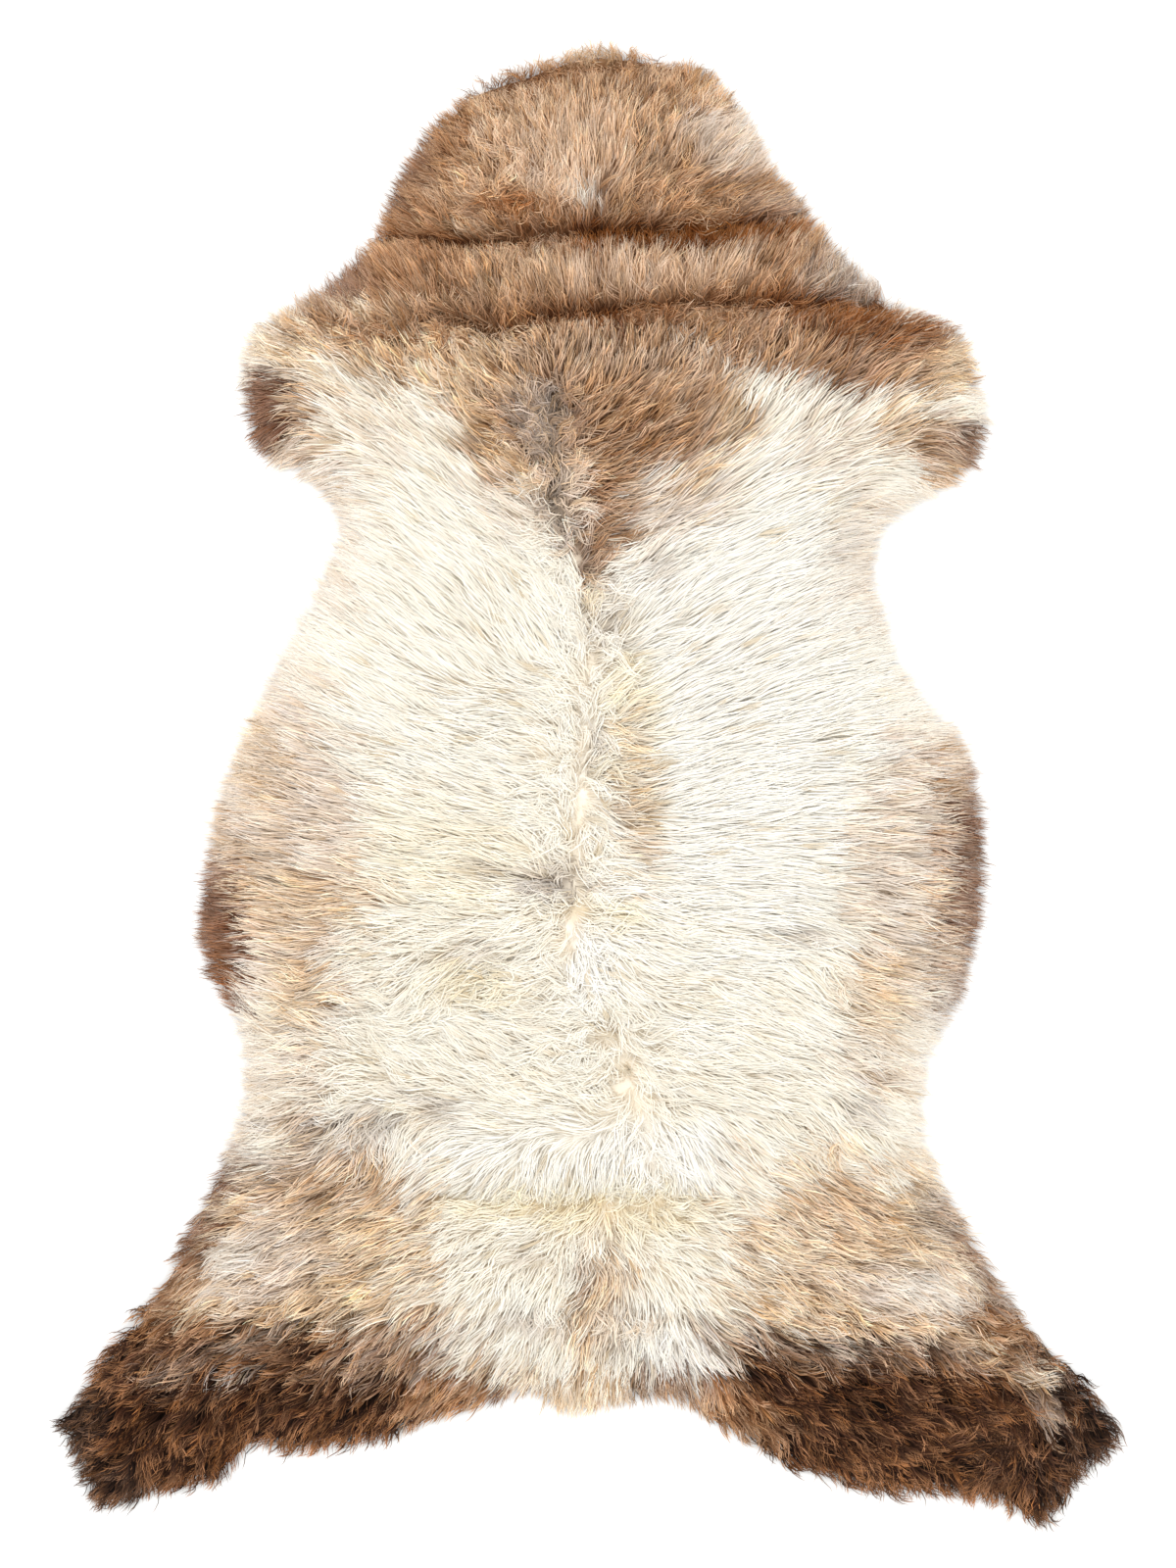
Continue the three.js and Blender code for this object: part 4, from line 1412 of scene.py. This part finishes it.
@dataclass
class WoolLocks:
    """The locks of one part of the fleece, each a bunch of thin tapered strands."""

    name: str
    low: float
    high: float
    nodes: int = 4
    spacing: float = 6.4
    bare_rim: float = 11.0
    strands: int = 9
    width: float = 0.82
    spread: float = 5.6
    tip_spread: float = 1.7
    gather: float = 0.2
    loose_share: float = 0.14
    tuft_pitch: float = 16.0
    tuft_stretch: float = 2.3
    tuft_pull: float = 0.5
    rim_stray: float = 8.0
    # The share of locks made dark as painted shadow between tufts
    shadow_lock_share: float = 0.05
    strand_play: float = 1.1
    lock_play: float = 0.55
    highest: float = 50.0
    ride: float = 1.0
    shown: float = 0.6
    seed: int = 1
    habit: LockHabit = LockHabit()
    strand: StrandHabit = StrandHabit()
    section: StrandSection = StrandSection()
    tint: StrandTint = StrandTint()
    pelt: Pelt = field(init=False)
    chance: np.random.Generator = field(init=False)
    lock: np.ndarray = field(init=False)

    def build(self, pelt: Pelt, dye: Dye, under: Underwool, finish: bpy.types.Material) -> bpy.types.Object:
        """Grows the locks and makes them one mesh.

        Args:
            pelt: The rug's outline, heights and lie.
            dye: The wool's colours.
            under: The undercoat that the locks grow through.
            finish: The wool's material.

        Returns:
            The dressed piece.
        """
        self.pelt, self.chance = pelt, np.random.default_rng(self.seed)
        roots = self._roots()
        self.lock = np.repeat(np.arange(len(roots)), self.strands)
        path = self._strand_paths(*self._lock_paths(roots))
        points = np.concatenate([path, self._heights(under, path)[:, :, None]], 2)
        piece = self._mesh(*self._ribbons(points))
        paint(piece, self._colours(dye, path).reshape(-1, 3))
        piece.data.materials.append(finish)
        return piece

    def _steps(self) -> np.ndarray:
        """Shares of a strand's length at its points, from 0 at the root to 1 at the tip."""
        return np.linspace(0, 1, self.nodes)

    def _for_each_lock(self, numbers: np.ndarray) -> np.ndarray:
        """Gives every strand the number of its lock."""
        return numbers[self.lock]

    def _shadow_locks(self) -> np.ndarray:
        """Which strands are in the thin dark locks, painted shadow that shows between two tufts."""
        chance = np.random.default_rng(self.seed + SHADOW_LOCK_SEED)
        return self._for_each_lock(chance.uniform(size=self.lock.max() + 1) < self.shadow_lock_share)

    def _play(self, own: float, shared: float) -> np.ndarray:
        """Random numbers for the strands, in part their own and in part their lock's."""
        strands = own * self.chance.normal(size=len(self.lock))
        return strands + shared * self._for_each_lock(self.chance.normal(size=self.lock.max() + 1))

    def _roots(self) -> np.ndarray:
        """Sets the locks out over this part of the hide, evenly but not in rows.

        Returns:
            The locks' roots in plan, as rows of x and y.
        """
        rise = self.spacing * math.sqrt(3) / 2
        across = self.pelt.outline[:, 0]
        across = np.arange(across.min(), across.max(), self.spacing)
        up = np.arange(math.ceil(self.low / rise), math.ceil(self.high / rise)) * rise
        grid = even_grid(across, up, self.spacing)
        scatter = self.habit.scatter
        roots = grid + self.chance.uniform(-scatter, scatter, grid.shape) * self.spacing
        return roots[self.pelt.inwards(roots) > self.bare_rim]

    def _temper(self, roots: np.ndarray) -> tuple[np.ndarray, np.ndarray, np.ndarray]:
        """Length, curl and stray of the locks."""
        return self.pelt.feel(roots)

    def _lock_paths(self, roots: np.ndarray) -> tuple[np.ndarray, np.ndarray]:
        """Follows the lie of the wool from each root and draws neighbours together in tufts.

        Args:
            roots: The locks' roots in plan.

        Returns:
            Each lock's path in plan, and its curl.
        """
        count, habit, chance = len(roots), self.habit, self.chance
        length, curl, stray = self._temper(roots)
        drift = habit.length_drift * wander(roots, habit.length_pitch, Noise.LOCK_LENGTH)
        length = length * (1 + drift + habit.length_play * chance.normal(size=count))
        inwards = smooth((self.pelt.inwards(roots) - habit.rim_start) / habit.rim_run)
        length *= blend(habit.rim_length, 1.0, inwards)
        drift = habit.turn_drift * wander(roots, habit.turn_pitch, Noise.LOCK_TURN)
        turn = stray * (habit.turn_play * chance.normal(size=count) + drift)
        drift = habit.bend_drift * wander(roots, habit.bend_pitch, Noise.LOCK_BEND)
        bend = curl * (habit.bend_play * chance.normal(size=count) + drift)
        path = [roots]
        step = (length / (self.nodes - 1))[:, None]
        for number in range(self.nodes - 1):
            angle = turn + bend * number / (self.nodes - 1)
            cos, sin = np.cos(angle), np.sin(angle)
            way = self.pelt.lie(path[-1])
            way = np.stack([way[:, 0] * cos - way[:, 1] * sin, way[:, 0] * sin + way[:, 1] * cos], 1)
            path.append(path[-1] + way * step)
        path = np.stack(path, 1)
        away = path[:, -1] - path[:, 0]
        side = np.stack([-away[:, 1], away[:, 0]], 1) / (length[:, None] + TINY)
        pull = self.tuft_pull * ((self._tufts(roots, self.pelt.lie(roots)) - roots) * side).sum(1)
        return path + (pull[:, None] * self._steps()[None])[:, :, None] * side[:, None], curl

    def _tufts(self, roots: np.ndarray, way: np.ndarray) -> np.ndarray:
        """Gives the middle of the tuft that each lock belongs to, in tufts longer than they are wide.

        Args:
            roots: The locks' roots in plan.
            way: The lie of the wool at the roots.

        Returns:
            The middle of a tuft for each root.
        """
        low, high = roots.min(0) - self.tuft_pitch, roots.max(0) + self.tuft_pitch
        across, up = (np.arange(a, b, self.tuft_pitch) for a, b in zip(low, high))
        middles = np.stack(np.meshgrid(across, up), -1).reshape(-1, 2)
        middles = middles + self.chance.uniform(-0.5, 0.5, middles.shape) * self.tuft_pitch
        nearest = []
        for root, (x, y) in zip(roots, way):
            away = middles - root
            along, aside = away @ (x, y) / self.tuft_stretch, away @ (-y, x)
            nearest.append(np.argmin(along * along + aside * aside))
        return middles[nearest]

    def _strand_paths(self, spine: np.ndarray, curl: np.ndarray) -> np.ndarray:
        """Spreads the strands of each lock round its path and ends them at folds and the rim.

        Args:
            spine: The path of each lock.
            curl: The curl of each lock.

        Returns:
            Each strand's path in plan.
        """
        count, share, strand, chance = len(self.lock), self._steps(), self.strand, self.chance
        turn = chance.uniform(0, 2 * math.pi, count)
        out = self.spread * np.sqrt(chance.uniform(0, 1, count))
        # The dark locks of painted shadow are drawn narrow
        out = out * np.where(self._shadow_locks(), strand.shadow_lock_spread, 1.0)
        offset = np.stack([out * np.cos(turn), out * np.sin(turn)], 1)
        loose = chance.uniform(size=count) < self.loose_share
        bunch = self.gather + strand.curl_gather * self._for_each_lock(curl)
        bunch = np.clip(bunch, 0, strand.most_gather)
        bunch = np.where(loose, strand.loose_gather, bunch)
        gather = bunch[:, None] * smooth(share / strand.gathered_at)[None]
        reach = chance.uniform(*strand.reach, count)
        path = self._for_each_lock(spine)
        away = path[:, -1] - path[:, 0]
        way = away / (np.linalg.norm(away, axis=1, keepdims=True) + TINY)
        side = np.stack([-way[:, 1], way[:, 0]], 1)
        ends = chance.normal(size=(count, 2))
        ends = ends * np.where(loose, strand.loose_ends, self.tip_spread)[:, None]
        reach = reach * self._kept(path[:, 0] + offset, path[:, -1] + ends)
        at = share[None] * reach[:, None] * (self.nodes - 1)
        step = np.minimum(at.astype(int), self.nodes - 2)
        row = np.arange(count)[:, None]
        path = blend(path[row, step], path[row, step + 1], (at - step)[:, :, None])
        path = path + offset[:, None] * (1 - gather)[:, :, None] + ends[:, None] * share[None, :, None]
        return path + side[:, None] * self._swing(spine[:, 0], curl)[:, :, None]

    def _swing(self, roots: np.ndarray, curl: np.ndarray) -> np.ndarray:
        """Waves the strands of a lock together, and those of its neighbours almost alike.

        Args:
            roots: The locks' roots in plan.
            curl: The curl of each lock.

        Returns:
            How far to the side each point of each strand goes.
        """
        count, share, strand, chance = len(self.lock), self._steps(), self.strand, self.chance
        waves = self._for_each_lock(chance.uniform(*strand.waves, len(roots)))
        waves = waves + chance.normal(size=count) * strand.wave_play
        phase = 2 * math.pi * wander(roots, strand.wave_pitch, Noise.WAVE)
        phase = phase + strand.lock_phase * chance.normal(size=len(roots))
        phase = self._for_each_lock(phase) + chance.normal(size=count) * strand.strand_phase
        swing = np.sin(2 * math.pi * waves[:, None] * share[None] + phase[:, None]) - np.sin(phase)[:, None]
        width = self._for_each_lock(curl) * strand.swing
        return swing * (width[:, None] * share[None] ** strand.swing_ease)

    def _kept(self, roots: np.ndarray, tips: np.ndarray) -> np.ndarray:
        """Shortens the strands that would cross a fold or reach too far past the rim.

        Args:
            roots: The strands' roots in plan.
            tips: The strands' tips in plan.

        Returns:
            The share of each strand's length that is kept.
        """
        kept, strand, chance = np.ones(len(roots)), self.strand, self.chance
        for fold in (fold for fold in FOLDS.values() if fold.stops):
            left, right = fold.line[0][0] - strand.fold_margin, fold.line[-1][0] + strand.fold_margin
            start, end = fold.beyond(roots), fold.beyond(tips)
            across = (start * end < 0) & (roots[:, 0] > left) & (roots[:, 0] < right)
            share = np.abs(start) / (np.abs(start) + np.abs(end) + TINY)
            share = np.clip(share * chance.uniform(*strand.fold_range, len(roots)), strand.fold_least, 1)
            kept = np.where(across, np.minimum(kept, share), kept)
        limit = -self.rim_stray * chance.normal(size=len(roots)) * strand.rim_play
        low, high = np.zeros(len(roots)), kept.copy()
        for _ in range(strand.rim_halvings):
            middle = (low + high) / 2
            inside = self.pelt.inwards(blend(roots, tips, middle[:, None])) > limit
            low, high = np.where(inside, middle, low), np.where(inside, high, middle)
        over = self.pelt.inwards(blend(roots, tips, kept[:, None])) < limit
        return np.where(over, np.maximum(low, strand.rim_least), kept)

    def _heights(self, under: Underwool, path: np.ndarray) -> np.ndarray:
        """Lifts the strands out of the undercoat and lays them over the wool's lumps.

        Args:
            under: The undercoat that the locks grow through.
            path: The strands' paths in plan.

        Returns:
            The height over the floor of each point of each strand.
        """
        share, strand, chance = self._steps(), self.strand, self.chance
        base = under.height(self.pelt, path[:, 0]) - strand.sink
        top = self.pelt.height(path.reshape(-1, 2)).reshape(path.shape[:2])
        locks = chance.normal(size=self.lock.max() + 1)
        ride = self.ride + strand.lock_ride * self._for_each_lock(locks)
        ride = ride + strand.strand_ride * chance.normal(size=len(path))
        # The dark locks of painted shadow ride on top, where they show
        ride = np.where(self._shadow_locks(), self.ride + strand.shadow_lock_ride, ride)
        droop = strand.droop * np.maximum(share - strand.crest, 0) / strand.past_crest
        rise = np.sin(np.minimum(share / strand.crest, 1) * math.pi / 2) - droop
        height = base[:, None] + (top * ride[:, None] - base[:, None]) * rise[None]
        return np.clip(height, strand.lowest, self.highest)

    def _ribbons(self, points: np.ndarray) -> tuple[np.ndarray, np.ndarray]:
        """Widens each strand to a thin ribbon that ends in a point.

        Args:
            points: The strands' paths in space.

        Returns:
            The ribbons' points, in pairs up to the tip, and their normals.
        """
        count, share, section = len(points), self._steps()[:-1], self.section
        along = np.gradient(points, axis=1)
        along /= np.linalg.norm(along, axis=2, keepdims=True) + TINY
        level = np.stack([-along[:, :, 1], along[:, :, 0], np.zeros(along.shape[:2])], 2)
        level /= np.linalg.norm(level, axis=2, keepdims=True) + TINY
        upright = np.cross(along, level)
        roll = (self.chance.normal(size=count) * section.roll)[:, None, None]
        flat = level * np.cos(roll) + upright * np.sin(roll)
        face = upright * np.cos(roll) - level * np.sin(roll)
        half = self.width / 2 * (1 - section.taper * share**section.taper_ease)
        half = half * blend(section.root_width, 1.0, smooth(share / section.root_run))
        half = half[None] * self.chance.uniform(*section.widths, count)[:, None]
        reach = flat[:, :-1] * half[:, :, None]
        pairs = np.stack([points[:, :-1] + reach, points[:, :-1] - reach], 2)
        bend = section.roundness * flat[:, :-1]
        turned = np.stack([face[:, :-1] + bend, face[:, :-1] - bend], 2)
        normals = np.concatenate([turned.reshape(count, -1, 3), face[:, -1:]], 1)
        normals /= np.linalg.norm(normals, axis=2, keepdims=True)
        return np.concatenate([pairs.reshape(count, -1, 3), points[:, -1:]], 1), normals

    def _mesh(self, ribbons: np.ndarray, normals: np.ndarray) -> bpy.types.Object:
        """Joins the ribbons' points into faces, with soft normals and a map of small strips.

        Args:
            ribbons: The points of each ribbon, in pairs up to the tip.
            normals: The normal at each of them.

        Returns:
            The bare piece.
        """
        count, rows = ribbons.shape[:2]
        first = np.arange(count)[:, None] * rows
        quads = [np.array([2 * k, 2 * k + 1, 2 * k + 3, 2 * k + 2]) for k in range(self.nodes - 2)]
        pattern = np.concatenate([*quads, np.array([rows - 3, rows - 2, rows - 1])])
        corners = (first + pattern[None]).ravel()
        counts = np.tile([4] * (self.nodes - 2) + [3], count)
        piece = new_piece(self.name, ribbons.reshape(-1, 3), corners, counts, self.pelt)
        self._map(piece, count, rows, corners)
        piece.data.polygons.foreach_set("use_smooth", np.ones(len(counts), bool))
        piece.data.normals_split_custom_set_from_vertices(normals.reshape(-1, 3).tolist())
        return piece

    def _map(self, piece: bpy.types.Object, count: int, rows: int, corners: np.ndarray) -> None:
        """Lays each strand on a small strip of its own in the piece's map.

        Args:
            piece: The piece whose map it is.
            count: How many strands it has.
            rows: How many points each strand has.
            corners: The point of each corner of the faces.
        """
        columns = math.ceil(math.sqrt(count * MAP_STRETCH))
        lines = math.ceil(count / columns)
        strand, point = corners // rows, corners % rows
        across = np.where(point == rows - 1, 0.5, MAP_ACROSS[0] + MAP_ACROSS[1] * (point % 2))
        along = MAP_ALONG[0] + MAP_ALONG[1] * (point // 2) / (self.nodes - 1)
        u = (strand % columns + across) / columns
        v = (strand // columns + along) / lines
        layer = piece.data.uv_layers.new(name="OFBake")
        layer.uv.foreach_set("vector", np.stack([u, v], 1).astype(np.float32).ravel())

    def _colours(self, dye: Dye, path: np.ndarray) -> np.ndarray:
        """Colours each strand from its root to its tip, with painted shade in the folds and at its darker
        root.

        Args:
            dye: The wool's colours.
            path: The strands' paths in plan.

        Returns:
            Linear colours as strand, point and channel.
        """
        count, share, tint, chance = len(path), self._steps(), self.tint, self.chance
        luck = tint.luck[0] * chance.uniform(size=count)
        luck = luck + tint.luck[1] * self._for_each_lock(chance.uniform(size=self.lock.max() + 1))
        shown = blend(path[:, 0], path[:, -1], self.shown)
        shown = shown + chance.normal(size=(count, 2)) * tint.astray
        colour, fleck = dye.tones(self.pelt, shown, luck)
        # Painted shade of the folds on the strands that stand in them
        colour = dye.paint_crease_shade(colour, path[:, 0])
        bright = 1 + fleck * self._play(self.strand_play, self.lock_play)
        bright = np.clip(bright, *tint.bright_range)
        cast = np.clip(fleck * self._play(*tint.cast_play), *tint.cast_range)
        cast = 1 + cast[:, None] * np.array(tint.cast)
        # Painted shadow: the dark locks between tufts are darkened most at their middles, in patches
        start, more = tint.gap_shadow_patches
        patches = smooth(start + more * wander(path[:, 0], tint.gap_shadow_pitch, Noise.GAP_SHADOW))
        gap = self._shadow_locks() * blend(tint.gap_shadow_least, 1.0, patches)
        gap = gap[:, None, None] * np.sin(math.pi * share)[None, :, None]
        # Each strand runs from the root tone to the tip tone; its darker root is partly painted shade deep
        # in the pile
        low, high = (smooth(part)[None, :, None] for part in (2 * share, 2 * share - 1))
        tone = blend(colour[:, None, 0], colour[:, None, 1], low)
        tone = blend(tone, colour[:, None, 2], high) * (bright[:, None] * cast)[:, None]
        tone = tone * (1 - gap * np.array(tint.gap))
        order = np.concatenate([np.repeat(np.arange(self.nodes - 1), 2), [self.nodes - 1]])
        return tone[:, order]


@dataclass
class TangledTufts(WoolLocks):
    """Short curly tufts that cross over the partings and stand in the folds."""

    nodes: int = 6
    width: float = 0.75
    spread: float = 4.4
    tip_spread: float = 1.8
    loose_share: float = 0.25
    tuft_pull: float = 0.0
    ride: float = 1.03
    length: float = 24.0
    curl: float = 0.9
    stray: float = 44.0
    farthest: float = 1.8

    def _roots(self) -> np.ndarray:
        """Scatters the tufts on both sides of each tangled line.

        Returns:
            The tufts' roots in plan, as rows of x and y.
        """
        places = []
        for start, end, reach, count in TANGLES.values():
            share = (np.arange(count) + self.chance.uniform(size=count)) / count
            line = blend(np.array(start, float), np.array(end, float), share[:, None])
            aside = np.clip(self.chance.normal(size=(count, 2)), -self.farthest, self.farthest)
            places.append(line + reach * aside)
        return np.concatenate(places)

    def _temper(self, roots: np.ndarray) -> tuple[np.ndarray, np.ndarray, np.ndarray]:
        """Length, curl and stray of the tufts."""
        return tuple(np.full(len(roots), v) for v in (self.length, self.curl, math.radians(self.stray)))


@dataclass
class Studio:
    """A pale floor, soft light and a camera straight above. Sizes in metres."""

    height: float = 3.6
    frame_height: float = 1.2688
    sensor: float = 36.0
    off_centre: tuple[float, float] = (0.0008, 0.0016)
    floor_size: float = 12.0
    floor_drop: float = 0.0006
    floor_colour: tuple[float, float, float] = (0.93, 0.93, 0.925)
    floor_roughness: float = 0.9
    floor_specular: float = 0.1
    sky: float = 1.05
    sky_colour: tuple[float, float, float] = (1.0, 0.995, 0.985)
    key: tuple[float, float, float] = (-1.1, 1.3, 2.6)
    key_size: float = 2.2
    key_power: float = 40.0
    fill: tuple[float, float, float] = (1.5, -1.2, 2.6)
    fill_size: float = 2.6
    fill_power: float = 20.0

    def build(self) -> None:
        """Builds the camera, the lights and the floor."""
        self._camera()
        self._floor()
        self._light("key", self.key, self.key_size, self.key_power)
        self._light("fill", self.fill, self.fill_size, self.fill_power)
        world = bpy.data.worlds.new("soft_room")
        world.use_nodes = True
        sky = world.node_tree.nodes["Background"]
        sky.inputs["Color"].default_value = (*self.sky_colour, 1)
        sky.inputs["Strength"].default_value = self.sky
        bpy.context.scene.world = world
        bpy.context.scene.view_settings.view_transform = "Standard"

    def _camera(self) -> None:
        """Hangs a long lens straight over the rug, with the head end up."""
        data = bpy.data.cameras.new("above")
        data.sensor_width = self.sensor
        data.lens = self.sensor * self.height / self.frame_height
        camera = bpy.data.objects.new("above", data)
        camera.location = (*self.off_centre, self.height)
        bpy.context.scene.collection.objects.link(camera)
        bpy.context.scene.camera = camera

    def _light(self, name: str, place: tuple[float, float, float], size: float, power: float) -> None:
        """Adds a large soft light that faces the rug.

        Args:
            name: The light's name.
            place: Where it hangs, in metres.
            size: The length of its sides, in metres.
            power: Its power in watts.
        """
        data = bpy.data.lights.new(name, "AREA")
        data.size = size
        data.energy = power
        light = bpy.data.objects.new(name, data)
        light.location = place
        light.rotation_euler = Vector(place).to_track_quat("Z", "Y").to_euler()
        bpy.context.scene.collection.objects.link(light)

    def _floor(self) -> None:
        """Lays the floor just under the rug."""
        half = self.floor_size / 2
        mesh = bpy.data.meshes.new("floor")
        square = [(-half, -half, 0), (half, -half, 0), (half, half, 0), (-half, half, 0)]
        mesh.from_pydata(square, [], [(0, 1, 2, 3)])
        floor = bpy.data.objects.new("floor", mesh)
        floor.location.z = -self.floor_drop
        bench = ShaderBench(
            "pale_floor", Roughness=self.floor_roughness, Specular_IOR_Level=self.floor_specular
        )
        bench.shader.inputs["Base Color"].default_value = (*self.floor_colour, 1)
        mesh.materials.append(bench.material)
        bpy.context.scene.collection.objects.link(floor)


def main() -> None:
    """Builds the rug on its frame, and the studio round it."""
    logging.basicConfig(level=logging.INFO, format="%(message)s")
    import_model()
    Studio().build()
    pelt = Pelt()
    dye = Dye()
    hide = Hide().build(pelt)
    under = Underwool()
    pieces = [under.build(pelt, dye)]
    finish = WoolFinish("wool_fibre").make()
    parts = [
        WoolLocks("wool_head_and_neck", 366, 620, spacing=5.8, strands=12, width=0.6, seed=101),
        WoolLocks("wool_shoulders", 130, 366, seed=102),
        WoolLocks("wool_back", -60, 130, seed=103),
        WoolLocks("wool_loin", -250, -60, seed=104),
        WoolLocks("wool_rump", -420, -250, seed=105),
        WoolLocks(
            "wool_hind_legs", -620, -420, nodes=6, spacing=6.8, spread=4.8, gather=0.42,
            strand_play=0.8, lock_play=1.0, seed=106,
        ),
        TangledTufts("wool_tufts", 0, 0, seed=107),
    ]
    pieces += [part.build(pelt, dye, under, finish) for part in parts]
    for piece in (hide, *pieces):
        LOG.info("%s: %d triangles", piece.name, len(piece.data.loops) - 2 * len(piece.data.polygons))


if __name__ == "__main__":
    main()
